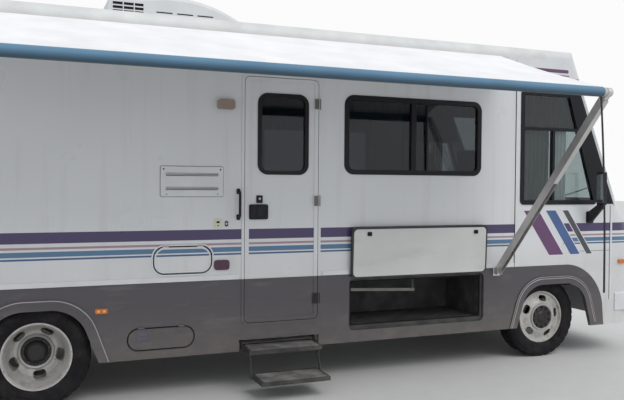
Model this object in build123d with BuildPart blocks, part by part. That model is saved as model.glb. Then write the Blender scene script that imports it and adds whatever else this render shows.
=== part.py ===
from build123d import *
from math import atan2, cos, degrees, radians, sin, tan
import os

os.makedirs("parts", exist_ok=True)

# Motorhome with a flat-nosed cab, 30 feet long, standing with its awning rolled out.
# Millimetres. X runs forward, Y to the vehicle's left, Z up from the ground under the tyres.
# X = 0 is the rear axle and Y = 0 the centre plane. The entry door is on the right, at -Y.

RIGHT, LEFT = -1, 1

# Overall form
WHEELBASE = 4826
REAR_OVERHANG = 3094
FRONT_OVERHANG = 1200
BODY_WIDTH = 2430
WALL = 38                   # sandwich walls and doors
REAR_WALL = 50
SKIRT = 30                  # lower side panels and their lids
GLASS = 6
SCREEN_GLASS = 10
FIT = 0.3                   # gap between a piece and the seat that holds it
RUNNING = 0.05              # radial clearance of a shaft in its bore
REVEAL = 5                  # gap round a door or a lid
FLOOR_Z = 944               # underside of the floor, where white walls meet the dark skirt
FLOOR = 46
EAVE_Z = 3000
SKIRT_Z = 333
ROOF_SHOULDER_Z = 3110
ROOF_CROWN_Z = 3150
ROOF_SHOULDER = 80          # width of the rounded edge of the roof
COWL_Z = 1556               # top of the dashboard and foot of the cab windows

HALF_WIDTH = BODY_WIDTH / 2
REAR_X = -REAR_OVERHANG
NOSE_X = WHEELBASE + FRONT_OVERHANG
FLOOR_TOP_Z = FLOOR_Z + FLOOR
INNER_REAR_X = REAR_X + REAR_WALL
CAB_SEAM_X = WHEELBASE - 426
ROOF_SEAM_X = NOSE_X - 1178

# Cab form: plan sections from the bottom up, as height, front edge and corner radius
CAP_CORNER = 280
CAP_SECTIONS = (
    (0, NOSE_X - 76, CAP_CORNER),
    (620, NOSE_X, CAP_CORNER),
    (1180, NOSE_X, CAP_CORNER),
    (1400, NOSE_X - 81, 240),
    (COWL_Z, NOSE_X - 246, 150),
    (ROOF_CROWN_Z + 150, NOSE_X - 959, 150),
)
BROW_ARC = (
    (NOSE_X - 1076, ROOF_CROWN_Z + 10), (NOSE_X - 918, ROOF_CROWN_Z - 28), (NOSE_X - 830, ROOF_CROWN_Z - 167),
)
CAP_BOTTOM_Z = 298
CAP_SEAM_X = NOSE_X - 459   # upright seam between the cab sides and the front cap
PANEL_SEAM = (
    (CAP_SEAM_X, COWL_Z), (NOSE_X - 951, EAVE_Z - 120), (NOSE_X - 986, EAVE_Z - 40), (NOSE_X - 1066, EAVE_Z - 10),
)
SCREEN_TOP_Z = EAVE_Z - 165
SCREEN_BASE_Z = COWL_Z + 44
SCREEN_EDGE = 110           # how far the screen reaches back round the corner, behind its slope
SCREEN_POST = 40
SLOPE_RUN = (CAP_SECTIONS[4][1] - CAP_SECTIONS[5][1]) / (CAP_SECTIONS[5][0] - CAP_SECTIONS[4][0])

# Side openings: side, rear edge, front edge, sill, head, centre of the mullion
WINDOW_FRAME = 45
WINDOW_RADIUS = 90
WINDOW_PROUD = 8
WINDOW_HEAD_Z = 2540
WINDOWS = (
    (RIGHT, 2549, 3991, 1834, WINDOW_HEAD_Z, 3248),
    (RIGHT, -2350, -1450, 1960, WINDOW_HEAD_Z, -1900),
    (LEFT, 2549, 3991, 1834, WINDOW_HEAD_Z, 3248),
    (LEFT, 900, 1600, 1960, WINDOW_HEAD_Z, 1250),
    (LEFT, -2350, -1450, 1960, WINDOW_HEAD_Z, -1900),
)
CAB_WINDOW_X0 = CAB_SEAM_X + 55
CAB_WINDOW_HEAD_Z = 2690
CAB_WINDOW = (
    (CAB_WINDOW_X0, COWL_Z), (NOSE_X - 586, COWL_Z), (NOSE_X - 941, CAB_WINDOW_HEAD_Z),
    (CAB_WINDOW_X0, CAB_WINDOW_HEAD_Z),
)
CAB_WINDOW_RADIUS = 45
CAB_BAR_Z = 2312
CAB_DIVIDER_X = CAB_WINDOW_X0 + 403
REAR_WINDOW = (440, 1900, 2480)                 # half width, sill, head

# Entry door: seam edges and the frame round it
DOOR_X0, DOOR_X1 = 1629, 2302
DOOR_Z0, DOOR_Z1 = 567, 2650
DOOR_RADIUS = 70
DOOR_FRAME = 23
DOOR_FRAME_PROUD = 6
DOOR_HINGE_X, DOOR_HINGE_Y = DOOR_X1 + 8, HALF_WIDTH + 15
DOOR_WINDOW = (DOOR_X0 + 116, DOOR_X1 - 95, 1824, 2516)
DOOR_HINGE_HEIGHTS = (DOOR_Z0 + 183, 1600, DOOR_Z1 - 210)
KICK_Z = DOOR_Z0 - 137

# Hatches and storage
STORAGE_X0, STORAGE_X1 = 2605, 4042
STORAGE_Z0, STORAGE_Z1 = 437, FLOOR_Z - 42
STORAGE_RADIUS = 50
STORAGE_RIM, STORAGE_SILL = 22, 39              # flange behind the lid, at the sides of the mouth and below it
STORAGE_DEPTH = 600
STORAGE_SHEET = 4
STORAGE_OPEN = 178          # degrees from closed, as the right lid stands
LID_HINGE_OUT = 7           # hinge line outboard of the wall face
SERVICE = (876, 1351, 1011, 1231)
SERVICE_RADIUS = 85
UTILITY = (673, 1207, 407, 581)
HATCH_BOX_DEPTH = 250
VENT = (929, 1445, 1638, 1883)
PORCH_LAMP = (1392, 1537, 2358, 2442)
SIDE_LENS = (1372, 1501, 1029, 1112)

# Wheels and axles
TYRE_RADIUS = 405
TYRE_WIDTH = 225
RIM_SEAT = 248
RIM_FLANGE = 262
RIM_HALF = 88
AXLE_Z = TYRE_RADIUS
DISH = 130                  # from a rear wheel's centre plane to the back of its disc
DUAL_INNER_Y = 803
DUAL_SEAT_Y = DUAL_INNER_Y + DISH
DUAL_OUTER_Y = DUAL_SEAT_Y + DISH
FRONT_WHEEL_Y = 1012
KINGPIN_Y = 860
SPINDLE_RADIUS = 30
HUB_RADIUS = 85

# Wheel arches in the skirt: bottom rear, bottom front, top rear, top front, top height, corner radius
REAR_ARCH = (-492, 492, -288, 288, AXLE_Z + 363, 285)
FRONT_ARCH = (WHEELBASE - 426, WHEELBASE + 563, WHEELBASE - 266, WHEELBASE + 414, AXLE_Z + 348, 262)
ARCH_LIP = 80
ARCH_LIP_PROUD = 12
CAP_SEAM = ((WHEELBASE + 241, FLOOR_Z), (WHEELBASE + 544, FLOOR_Z - 132), (WHEELBASE + 697, FLOOR_Z - 410))

# Chassis
RAIL_Y = 430
RAIL_Z0, RAIL_HEIGHT, RAIL_WEB, RAIL_FLANGE = 600, 200, 10, 70
RAIL_X0, RAIL_X1 = REAR_X + 144, NOSE_X - 176
OUTRIGGERS = (-2400, -1300, 660, 1500, 2440, WHEELBASE - 676, WHEELBASE + 624)
CROSSMEMBERS = (-2700, -1860, -1020, -180, 660, 1500, 2340, 3180, 4020, WHEELBASE - 46, NOSE_X - 276)
CROSSMEMBER = 60
ENGINE_X0, ENGINE_X1 = WHEELBASE + 54, WHEELBASE + 814
ENGINE_HALF = RAIL_Y - RAIL_FLANGE - 30
ENGINE_Z0, ENGINE_Z1 = 470, FLOOR_Z - 19
ENGINE_FEET = (ENGINE_X0 + 100, ENGINE_X0 + 440)
ENGINE_FOOT = 80
TANK_X0, TANK_X1 = -2500, -1400
TANK_HALF = RAIL_Y - RAIL_FLANGE
TANK_Z0, TANK_Z1 = 420, RAIL_Z0 - 10

# Awning
AWNING_X0, AWNING_X1 = -1130, 4185
ROLLER_Y, ROLLER_Z, ROLLER_RADIUS = HALF_WIDTH + 1345, 2499, 40
ARM_FOOT_Y, ARM_FOOT_Z = HALF_WIDTH + 35, FLOOR_Z - 27
ARM_WIDTH, ARM_DEPTH = 46, 72
ARM_LEAN = 60               # how far an arm's foot stands behind its top
RAIL_DROP = 36
FABRIC = 5
STRAP_Z = 887
STRAP_WIDTH, STRAP_THICK = 20, 3

# Entry steps: pivots as (distance from centre plane, height)
STEP_X0, STEP_X1 = DOOR_X0 - 14, DOOR_X1 - 12
STEP_PLATE = 8
STEP_GAP = 6
ARM_PIVOT = (HALF_WIDTH - 155, DOOR_Z0 - 112)
TREAD_PIVOT = (ARM_PIVOT[0] + 190, ARM_PIVOT[1] - 105)
LINK_PIVOT = (TREAD_PIVOT[0] + 80, TREAD_PIVOT[1] - 10)
LOWER_PIVOT = (LINK_PIVOT[0] + 70, LINK_PIVOT[1] - 190)
STEP_PIN = 6
UPPER_TREAD = (TREAD_PIVOT[0] - 140, LINK_PIVOT[0] + 60, TREAD_PIVOT[1] + 20)      # back, nosing, top
LOWER_TREAD = (LOWER_PIVOT[0] - 65, LOWER_PIVOT[0] + 241, LOWER_PIVOT[1] + 20)
TREAD_LIP = 34


# Shared forms

def skin_plane(side, depth):
    """Side view plane, depth inboard of that side's outer face; its normal is -Y on both sides."""
    return Plane.XZ.offset(-side * (HALF_WIDTH - depth))


def cross_plane(x):
    """Plane across the vehicle, looking back, with local axes Y and Z."""
    return Plane.YZ.offset(x)


def plan_plane(z):
    return Plane.XY.offset(z)


def panel(x0, x1, z0, z1, radius, mode=Mode.ADD):
    """Rounded rectangle given by its edges."""
    with Locations(((x0 + x1) / 2, (z0 + z1) / 2)):
        RectangleRounded(x1 - x0, z1 - z0, radius, mode=mode)


def block(x0, x1, z0, z1, mode=Mode.ADD):
    """Square-cornered rectangle given by its edges."""
    with Locations(((x0 + x1) / 2, (z0 + z1) / 2)):
        Rectangle(x1 - x0, z1 - z0, mode=mode)


def ring(x0, x1, z0, z1, radius, width):
    """Band of a given width just inside a rounded rectangle."""
    panel(x0, x1, z0, z1, radius)
    panel(x0 + width, x1 - width, z0 + width, z1 - width, radius - width, Mode.SUBTRACT)


def cab_window(inset=0.0, mode=Mode.ADD):
    """Outline of the cab's side window, with its slanted front edge."""
    with BuildSketch(mode=Mode.PRIVATE) as outline:
        with BuildLine():
            Polyline(*CAB_WINDOW, close=True)
        make_face()
        fillet(outline.vertices(), CAB_WINDOW_RADIUS)
        if inset:
            offset(amount=-inset, kind=Kind.ARC)
    add(outline.sketch, mode=mode)


def arch(bounds, grow=0.0, mode=Mode.ADD):
    """Wheel arch outline with a flat top and slanting sides, open at the bottom."""
    rear0, front0, rear1, front1, top, radius = bounds
    with BuildSketch(mode=Mode.PRIVATE) as outline:
        with BuildLine():
            Polyline(
                (rear0 - grow, SKIRT_Z - 100),
                (rear1 - grow * 0.8, top + grow),
                (front1 + grow * 0.8, top + grow),
                (front0 + grow, SKIRT_Z - 100),
                close=True,
            )
        make_face()
        fillet(outline.vertices().group_by(Axis.Y)[-1], radius + grow)
    add(outline.sketch, mode=mode)


def cross_section(inset):
    """Section of the coach: upright sides, rounded shoulders and a crowned roof."""
    side = HALF_WIDTH - inset
    shoulder = HALF_WIDTH - ROOF_SHOULDER
    bend = (HALF_WIDTH - 25 - inset * 0.8, EAVE_Z + 84 - inset * 0.6)
    with BuildSketch(mode=Mode.PRIVATE) as outline:
        with BuildLine():
            Polyline((-side, EAVE_Z + 20), (-side, -100), (side, -100), (side, EAVE_Z + 20))
            ThreePointArc((side, EAVE_Z + 20), bend, (shoulder, ROOF_SHOULDER_Z - inset))
            ThreePointArc(
                (shoulder, ROOF_SHOULDER_Z - inset), (0, ROOF_CROWN_Z - inset), (-shoulder, ROOF_SHOULDER_Z - inset)
            )
            ThreePointArc((-shoulder, ROOF_SHOULDER_Z - inset), (-bend[0], bend[1]), (-side, EAVE_Z + 20))
        make_face()
    add(outline.sketch)


def body_form(inset=0.0):
    """Outer form of the coach and its cab, or the same form a given depth inside its skin."""
    back_x = REAR_X - 400
    with BuildPart() as form:
        for height, front, radius in CAP_SECTIONS:
            with BuildSketch(plan_plane(height)) as section:
                block(back_x, front - inset, -HALF_WIDTH + inset, HALF_WIDTH - inset)
                fillet(section.vertices().group_by(Axis.X)[-1], radius - inset)
        loft(ruled=True)
        with BuildSketch(Plane.XZ):
            with BuildLine():
                Polyline(BROW_ARC[2], (NOSE_X + 200, BROW_ARC[2][1]), (NOSE_X + 200, -100), (back_x, -100))
                Polyline((back_x, -100), (back_x, BROW_ARC[0][1]), BROW_ARC[0])
                ThreePointArc(*BROW_ARC)
            make_face()
            if inset:
                offset(amount=-inset, kind=Kind.ARC)
        extrude(amount=BODY_WIDTH, both=True, mode=Mode.INTERSECT)
        with BuildSketch(Plane.YZ):
            cross_section(inset)
        extrude(amount=2 * NOSE_X, both=True, mode=Mode.INTERSECT)
    return form.part


def screen_x(z):
    """Front of the windscreen slope at a height."""
    return CAP_SECTIONS[4][1] - SLOPE_RUN * (z - CAP_SECTIONS[4][0])


def screen_prism(gap=0.0):
    """Block that takes the windscreen out of the cap, one half each side of the centre post."""
    with BuildPart() as prism:
        with BuildSketch(Plane.XZ) as side:
            with BuildLine():
                Polyline(
                    (screen_x(SCREEN_BASE_Z) - SCREEN_EDGE, SCREEN_BASE_Z + 40),
                    (screen_x(SCREEN_TOP_Z) - SCREEN_EDGE, SCREEN_TOP_Z),
                    (screen_x(SCREEN_TOP_Z) + 500, SCREEN_TOP_Z),
                    (screen_x(SCREEN_BASE_Z) + 500, SCREEN_BASE_Z),
                    (screen_x(SCREEN_BASE_Z), SCREEN_BASE_Z),
                    close=True,
                )
            make_face()
            if gap:
                offset(amount=-gap, kind=Kind.INTERSECTION)
        extrude(amount=BODY_WIDTH, both=True)
        with BuildSketch(Plane.XY):
            Rectangle(4 * NOSE_X, SCREEN_POST + 2 * gap)
        extrude(amount=2 * ROOF_CROWN_Z, mode=Mode.SUBTRACT)
    return prism.part


outer_form = body_form()
inner_form = body_form(WALL)


# Floor of three slabs, with the pan of the step well inside the entry door and the risers under the cab seats
SEAT_X, SEAT_Y, SEAT_Z, SEAT_WIDTH = WHEELBASE - 206, 520, 1330, 520
WELL_Y = 780
WELL_Z = 600
WELL_SHEET = 30
WELL_STEP, WELL_STEP_HEIGHT = 240, 190
WELL_X0, WELL_X1 = DOOR_X0 + WELL_SHEET, DOOR_X1 - WELL_SHEET
FLOOR_HALF = HALF_WIDTH - WALL

with BuildPart() as floor:
    with BuildSketch(plan_plane(FLOOR_Z)):
        block(INNER_REAR_X, WELL_X0 - FIT, -FLOOR_HALF, FLOOR_HALF)
        block(WELL_X0, WELL_X1, -WELL_Y, FLOOR_HALF)
        block(WELL_X1 + FIT, CAP_SEAM_X, -FLOOR_HALF, FLOOR_HALF)
    extrude(amount=FLOOR)
    with BuildSketch(plan_plane(DOOR_Z0)):
        block(DOOR_X0, DOOR_X1, -FLOOR_HALF, -WELL_Y + WELL_SHEET)
    extrude(amount=WELL_Z - DOOR_Z0)
    with BuildSketch(plan_plane(WELL_Z + FIT)):
        for x in (DOOR_X0, WELL_X1):
            block(x, x + WELL_SHEET, -FLOOR_HALF, -WELL_Y + WELL_SHEET)
        block(WELL_X0 + FIT, WELL_X1 - FIT, -WELL_Y, -WELL_Y + WELL_SHEET)
    extrude(amount=FLOOR_Z - WELL_Z - 2 * FIT)
    with BuildSketch(plan_plane(WELL_Z + FIT)):
        block(WELL_X0 + FIT, WELL_X1 - FIT, -WELL_Y - WELL_STEP, -WELL_Y - FIT)
    extrude(amount=WELL_STEP_HEIGHT)
    for side in (RIGHT, LEFT):
        with BuildSketch(plan_plane(FLOOR_TOP_Z + FIT)):
            with Locations((SEAT_X, side * SEAT_Y)):
                Rectangle(360, 340)
        extrude(amount=SEAT_Z - FLOOR_TOP_Z - FIT, taper=6)
floor.part.label = "floor"
export_step(floor.part, "parts/floor.step")


# Side walls, cut for windows, entry door, service hatch and refrigerator vent
def side_wall(side):
    with BuildPart() as wall:
        with BuildSketch(skin_plane(side, WALL)):
            block(INNER_REAR_X, CAB_SEAM_X, FLOOR_Z, EAVE_Z)
            for owner, x0, x1, z0, z1, _ in WINDOWS:
                if owner == side:
                    panel(x0 - FIT, x1 + FIT, z0 - FIT, z1 + FIT, WINDOW_RADIUS, Mode.SUBTRACT)
            if side == RIGHT:
                panel(*SERVICE, SERVICE_RADIUS, Mode.SUBTRACT)
                x0, x1, z0, z1 = VENT
                block(x0 + 25, x1 - 25, z0 + 25, z1 - 25, Mode.SUBTRACT)
                x0, x1 = DOOR_X0 - DOOR_FRAME, DOOR_X1 + DOOR_FRAME
                panel(x0 - FIT, x1 + FIT, DOOR_Z0 - 300, DOOR_Z1 + DOOR_FRAME + FIT, DOOR_RADIUS, Mode.SUBTRACT)
        extrude(amount=-side * WALL)
    return wall


side_wall_right = side_wall(RIGHT)
side_wall_right.part.label = "side_wall_right"
export_step(side_wall_right.part, "parts/side_wall_right.step")

side_wall_left = side_wall(LEFT)
side_wall_left.part.label = "side_wall_left"
export_step(side_wall_left.part, "parts/side_wall_left.step")


# Rear wall with its window opening, cut away below round the hitch and the bumper's arms
with BuildPart() as rear_wall:
    with BuildSketch(cross_plane(REAR_X)):
        block(-HALF_WIDTH, HALF_WIDTH, SKIRT_Z + 90, EAVE_Z)
        block(-RAIL_Y, RAIL_Y, SKIRT_Z, RAIL_Z0 + 65, Mode.SUBTRACT)
        half, sill, head = REAR_WINDOW
        panel(-half - FIT, half + FIT, sill - FIT, head + FIT, WINDOW_RADIUS, Mode.SUBTRACT)
    extrude(amount=REAR_WALL)
    corners = rear_wall.edges().filter_by(Axis.Z).group_by(Axis.X)[0]
    fillet(corners.group_by(Axis.Y)[0] + corners.group_by(Axis.Y)[-1], REAR_WALL - 10)
rear_wall.part.label = "rear_wall"
export_step(rear_wall.part, "parts/rear_wall.step")


# Roof: a crowned shell with rounded shoulders, from the rear to the seam over the cab
with BuildPart() as roof:
    add(outer_form)
    add(inner_form, mode=Mode.SUBTRACT)
    with BuildSketch(Plane.XZ):
        block(REAR_X, ROOF_SEAM_X, EAVE_Z, ROOF_CROWN_Z + 200)
    extrude(amount=BODY_WIDTH, both=True, mode=Mode.INTERSECT)
    with BuildSketch(cross_plane(REAR_X)):
        block(-HALF_WIDTH + 20, HALF_WIDTH - 20, EAVE_Z, EAVE_Z + 60)
        block(-HALF_WIDTH + 110, HALF_WIDTH - 110, EAVE_Z + 50, EAVE_Z + 95)
    extrude(amount=REAR_WALL)
roof.part.label = "roof"
export_step(roof.part, "parts/roof.step")


# Front cap: moulded shell round the cab, open for the screen, side windows, grille and lamps
GRILLE_HALF = 420
GRILLE_Z0, GRILLE_PITCH, GRILLE_SLOTS, GRILLE_SLOT = 760, 56, 5, 30
HEADLAMP_Z, HEADLAMP_WIDTH, HEADLAMP_HEIGHT, HEADLAMP_DEPTH = 868, 165, 110, 60
HEADLAMP_YS = (-790, -600, 600, 790)

def cab_panel_outline(gap=0.0):
    """Side view of the panel between the coach seam and the front cap, down to the skirt."""
    with BuildSketch(mode=Mode.PRIVATE) as outline:
        with BuildLine():
            Polyline((CAB_SEAM_X, EAVE_Z), (CAB_SEAM_X, FLOOR_Z), CAP_SEAM[0])
            ThreePointArc(*CAP_SEAM)
            Polyline(CAP_SEAM[2], (CAP_SEAM_X, CAP_SEAM[2][1]), PANEL_SEAM[0], PANEL_SEAM[1])
            ThreePointArc(*PANEL_SEAM[1:])
            Polyline(PANEL_SEAM[3], (ROOF_SEAM_X, PANEL_SEAM[3][1]), (ROOF_SEAM_X, EAVE_Z), (CAB_SEAM_X, EAVE_Z))
        make_face()
        if gap:
            offset(amount=-gap, kind=Kind.ARC)
    add(outline.sketch)


with BuildPart() as front_cap:
    add(outer_form)
    add(inner_form, mode=Mode.SUBTRACT)
    with BuildSketch(Plane.XZ):
        with BuildLine():
            Polyline((CAB_SEAM_X, EAVE_Z), (CAB_SEAM_X, FLOOR_Z), CAP_SEAM[0])
            ThreePointArc(*CAP_SEAM)
            Polyline(
                CAP_SEAM[-1],
                (CAP_SEAM[-1][0] + 22, CAP_BOTTOM_Z),
                (NOSE_X + 100, CAP_BOTTOM_Z),
                (NOSE_X + 100, ROOF_CROWN_Z + 100),
                (ROOF_SEAM_X, ROOF_CROWN_Z + 100),
                (ROOF_SEAM_X, EAVE_Z),
                (CAB_SEAM_X, EAVE_Z),
            )
        make_face()
    extrude(amount=BODY_WIDTH, both=True, mode=Mode.INTERSECT)
    with BuildSketch(Plane.XZ):
        cab_panel_outline()
    extrude(amount=BODY_WIDTH, both=True, mode=Mode.SUBTRACT)
    add(screen_prism(), mode=Mode.SUBTRACT)
    with BuildSketch(cross_plane(NOSE_X - 2 * WALL)):
        for slot in range(GRILLE_SLOTS):
            z = GRILLE_Z0 + slot * GRILLE_PITCH
            panel(-GRILLE_HALF, GRILLE_HALF, z, z + GRILLE_SLOT, GRILLE_SLOT / 2 - 1)
        for y in HEADLAMP_YS:
            with Locations((y, HEADLAMP_Z)):
                RectangleRounded(HEADLAMP_WIDTH + 2 * FIT, HEADLAMP_HEIGHT + 2 * FIT, 12)
    extrude(amount=3 * WALL, mode=Mode.SUBTRACT)
front_cap.part.label = "front_cap"
export_step(front_cap.part, "parts/front_cap.step")


# Cab sides, one flat panel each side, cut for the cab windows
with BuildPart() as cab_sides:
    for side in (RIGHT, LEFT):
        with BuildSketch(skin_plane(side, WALL)):
            cab_panel_outline(FIT)
            cab_window(-FIT, Mode.SUBTRACT)
        extrude(amount=-side * WALL)
cab_sides.part.label = "cab_sides"
export_step(cab_sides.part, "parts/cab_sides.step")


# Lower side panels, cut for wheel arches, storage, entry steps and the utility hatch
def skirt(side):
    with BuildPart() as shell:
        with BuildSketch(skin_plane(side, SKIRT)):
            with BuildLine():
                Polyline((INNER_REAR_X, FLOOR_Z), CAP_SEAM[0])
                ThreePointArc(*CAP_SEAM)
                Polyline(
                    CAP_SEAM[-1],
                    (CAP_SEAM[-1][0] + 22, CAP_BOTTOM_Z),
                    (FRONT_ARCH[1] - 60, CAP_BOTTOM_Z),
                    (FRONT_ARCH[0] + 60, SKIRT_Z),
                    (INNER_REAR_X, SKIRT_Z),
                    (INNER_REAR_X, FLOOR_Z),
                )
            make_face()
            offset(amount=-FIT, kind=Kind.INTERSECTION)
            arch(REAR_ARCH, mode=Mode.SUBTRACT)
            arch(FRONT_ARCH, mode=Mode.SUBTRACT)
            panel(STORAGE_X0, STORAGE_X1, STORAGE_Z0, STORAGE_Z1, STORAGE_RADIUS, Mode.SUBTRACT)
            if side == RIGHT:
                x0, x1, z0, z1 = UTILITY
                panel(x0, x1, z0, z1, (z1 - z0) / 2 - 1, Mode.SUBTRACT)
                frame_x0, frame_x1 = DOOR_X0 - DOOR_FRAME, DOOR_X1 + DOOR_FRAME
                frame_z0 = DOOR_Z0 - DOOR_FRAME
                panel(frame_x0 - FIT, frame_x1 + FIT, frame_z0 - FIT, DOOR_Z1, DOOR_RADIUS, Mode.SUBTRACT)
                block(STEP_X0 - 25, STEP_X1 + 25, SKIRT_Z - 10, KICK_Z, Mode.SUBTRACT)
        extrude(amount=-side * SKIRT)
        with BuildSketch(skin_plane(side, 0)):
            for bounds in (REAR_ARCH, FRONT_ARCH):
                arch(bounds, ARCH_LIP)
            for bounds in (REAR_ARCH, FRONT_ARCH):
                arch(bounds, mode=Mode.SUBTRACT)
            block(REAR_X, NOSE_X, SKIRT_Z - 200, SKIRT_Z + 4, Mode.SUBTRACT)
        extrude(amount=-side * ARCH_LIP_PROUD)
        with BuildSketch(skin_plane(side, SKIRT)):
            for x0, x1 in ((INNER_REAR_X + FIT, REAR_ARCH[0] - 40), (REAR_ARCH[1] + 40, STEP_X0 - 60),
                           (STEP_X1 + 60, FRONT_ARCH[0] - 60)):
                block(x0, x1, SKIRT_Z + FIT, SKIRT_Z + FIT + 14)
        extrude(amount=side * 30)
    return shell


skirt_right = skirt(RIGHT)
skirt_right.part.label = "skirt_right"
export_step(skirt_right.part, "parts/skirt_right.step")

skirt_left = skirt(LEFT)
skirt_left.part.label = "skirt_left"
export_step(skirt_left.part, "parts/skirt_left.step")


# Window frames with their mullions, and the glass that they hold
REAR_HALF, REAR_SILL, REAR_HEAD = REAR_WINDOW
MULLION = 50

with BuildPart() as window_frames:
    for side, x0, x1, z0, z1, mullion in WINDOWS:
        with BuildSketch(skin_plane(side, WALL)):
            ring(x0, x1, z0, z1, WINDOW_RADIUS, WINDOW_FRAME)
            block(mullion - MULLION / 2, mullion + MULLION / 2, z0 + WINDOW_FRAME, z1 - WINDOW_FRAME)
        extrude(amount=-side * (WALL + WINDOW_PROUD))
    for side in (RIGHT, LEFT):
        with BuildSketch(skin_plane(side, WALL)):
            cab_window()
            cab_window(WINDOW_FRAME, Mode.SUBTRACT)
            with BuildSketch(mode=Mode.PRIVATE) as bars:
                block(CAB_SEAM_X, NOSE_X, CAB_BAR_Z - 15, CAB_BAR_Z + 15)
                block(CAB_DIVIDER_X - 15, CAB_DIVIDER_X + 15, CAB_WINDOW[0][1], CAB_BAR_Z)
            cab_window(20, Mode.PRIVATE)
            add(bars.sketch)
        extrude(amount=-side * (WALL + WINDOW_PROUD))
        with BuildSketch(skin_plane(side, WALL)):
            block(CAB_SEAM_X - 200, NOSE_X, FLOOR_Z, ROOF_CROWN_Z)
            cab_window(0, Mode.SUBTRACT)
        extrude(amount=-side * (WALL + WINDOW_PROUD), mode=Mode.SUBTRACT)
    with BuildSketch(cross_plane(REAR_X - WINDOW_PROUD)):
        ring(-REAR_HALF, REAR_HALF, REAR_SILL, REAR_HEAD, WINDOW_RADIUS, WINDOW_FRAME)
    extrude(amount=REAR_WALL + WINDOW_PROUD)
window_frames.part.label = "window_frames"
export_step(window_frames.part, "parts/window_frames.step")


with BuildPart() as window_glass:
    add(outer_form)
    add(body_form(SCREEN_GLASS), mode=Mode.SUBTRACT)
    add(screen_prism(FIT), mode=Mode.INTERSECT)
    for side, x0, x1, z0, z1, mullion in WINDOWS:
        with BuildSketch(skin_plane(side, WALL / 2)):
            edge = WINDOW_FRAME + FIT
            panel(x0 + edge, x1 - edge, z0 + edge, z1 - edge, WINDOW_RADIUS - edge)
            half = MULLION / 2 + FIT
            block(mullion - half, mullion + half, z0, z1, Mode.SUBTRACT)
        extrude(amount=-side * GLASS)
    for side in (RIGHT, LEFT):
        with BuildSketch(skin_plane(side, WALL / 2)):
            cab_window(WINDOW_FRAME + FIT)
            block(CAB_SEAM_X, NOSE_X, CAB_BAR_Z - 15 - FIT, CAB_BAR_Z + 15 + FIT, Mode.SUBTRACT)
            block(CAB_DIVIDER_X - 15 - FIT, CAB_DIVIDER_X + 15 + FIT, FLOOR_Z, CAB_BAR_Z, Mode.SUBTRACT)
        extrude(amount=-side * GLASS)
    with BuildSketch(cross_plane(REAR_X + REAR_WALL / 2)):
        edge = WINDOW_FRAME + FIT
        panel(-REAR_HALF + edge, REAR_HALF - edge, REAR_SILL + edge, REAR_HEAD - edge, WINDOW_RADIUS - edge)
    extrude(amount=GLASS)
window_glass.part.label = "window_glass"
export_step(window_glass.part, "parts/window_glass.step")


# Entry door: fixed frame, hinged leaf, its window frame and glass
with BuildPart() as entry_door_frame:
    with BuildSketch(skin_plane(RIGHT, WALL)):
        x0, x1 = DOOR_X0 - DOOR_FRAME, DOOR_X1 + DOOR_FRAME
        z0, z1 = DOOR_Z0 - DOOR_FRAME, DOOR_Z1 + DOOR_FRAME
        ring(x0, x1, z0, z1, DOOR_RADIUS, DOOR_FRAME)
    extrude(amount=WALL + DOOR_FRAME_PROUD)
entry_door_frame.part.label = "entry_door_frame"
export_step(entry_door_frame.part, "parts/entry_door_frame.step")

DOOR_BORDER = 36
DOOR_BORDER_PROUD = 5
HINGE_KNUCKLE = 6
HINGE_LENGTH = 90

with BuildPart() as entry_door:
    with BuildSketch(skin_plane(RIGHT, WALL)):
        x0, x1 = DOOR_X0 + REVEAL, DOOR_X1 - REVEAL
        z0, z1 = DOOR_Z0 + REVEAL, DOOR_Z1 - REVEAL
        panel(x0, x1, z0, z1, DOOR_RADIUS - DOOR_FRAME - REVEAL)
        wx0, wx1, wz0, wz1 = DOOR_WINDOW
        panel(wx0 - FIT, wx1 + FIT, wz0 - FIT, wz1 + FIT, WINDOW_RADIUS, Mode.SUBTRACT)
    extrude(amount=WALL)
    with BuildSketch(skin_plane(RIGHT, 0)):
        ring(x0, x1, z0, z1, DOOR_RADIUS - DOOR_FRAME - REVEAL, DOOR_BORDER)
    extrude(amount=DOOR_BORDER_PROUD)
    with BuildSketch(skin_plane(RIGHT, 0)):
        block(x0 + 20, x1 - 20, FLOOR_Z - 14, FLOOR_Z + 6)
    extrude(amount=DOOR_BORDER_PROUD)
    with BuildSketch(skin_plane(RIGHT, 0)):
        panel(DOOR_X0 + 43, DOOR_X0 + 207, 1446, 1571, 14)
    extrude(amount=14)
    for height in DOOR_HINGE_HEIGHTS:
        with BuildSketch(plan_plane(height - HINGE_LENGTH / 2)):
            with Locations((DOOR_HINGE_X, -DOOR_HINGE_Y)):
                Circle(HINGE_KNUCKLE)
            block(DOOR_HINGE_X - 55, DOOR_HINGE_X, -DOOR_HINGE_Y - 4, -DOOR_HINGE_Y + 5)
            block(DOOR_HINGE_X - 55, DOOR_HINGE_X - 15, -DOOR_HINGE_Y, -HALF_WIDTH)
        extrude(amount=HINGE_LENGTH)
entry_door.part.label = "entry_door"
export_step(entry_door.part, "parts/entry_door.step")

with BuildPart() as entry_door_window:
    with BuildSketch(skin_plane(RIGHT, WALL)):
        ring(*DOOR_WINDOW, WINDOW_RADIUS, WINDOW_FRAME - 10)
    extrude(amount=WALL + WINDOW_PROUD)
entry_door_window.part.label = "entry_door_window"
export_step(entry_door_window.part, "parts/entry_door_window.step")

with BuildPart() as entry_door_glass:
    with BuildSketch(skin_plane(RIGHT, WALL / 2)):
        edge = WINDOW_FRAME - 10 + FIT
        x0, x1, z0, z1 = DOOR_WINDOW
        panel(x0 + edge, x1 - edge, z0 + edge, z1 - edge, WINDOW_RADIUS - edge)
    extrude(amount=GLASS)
entry_door_glass.part.label = "entry_door_glass"
export_step(entry_door_glass.part, "parts/entry_door_glass.step")


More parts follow.
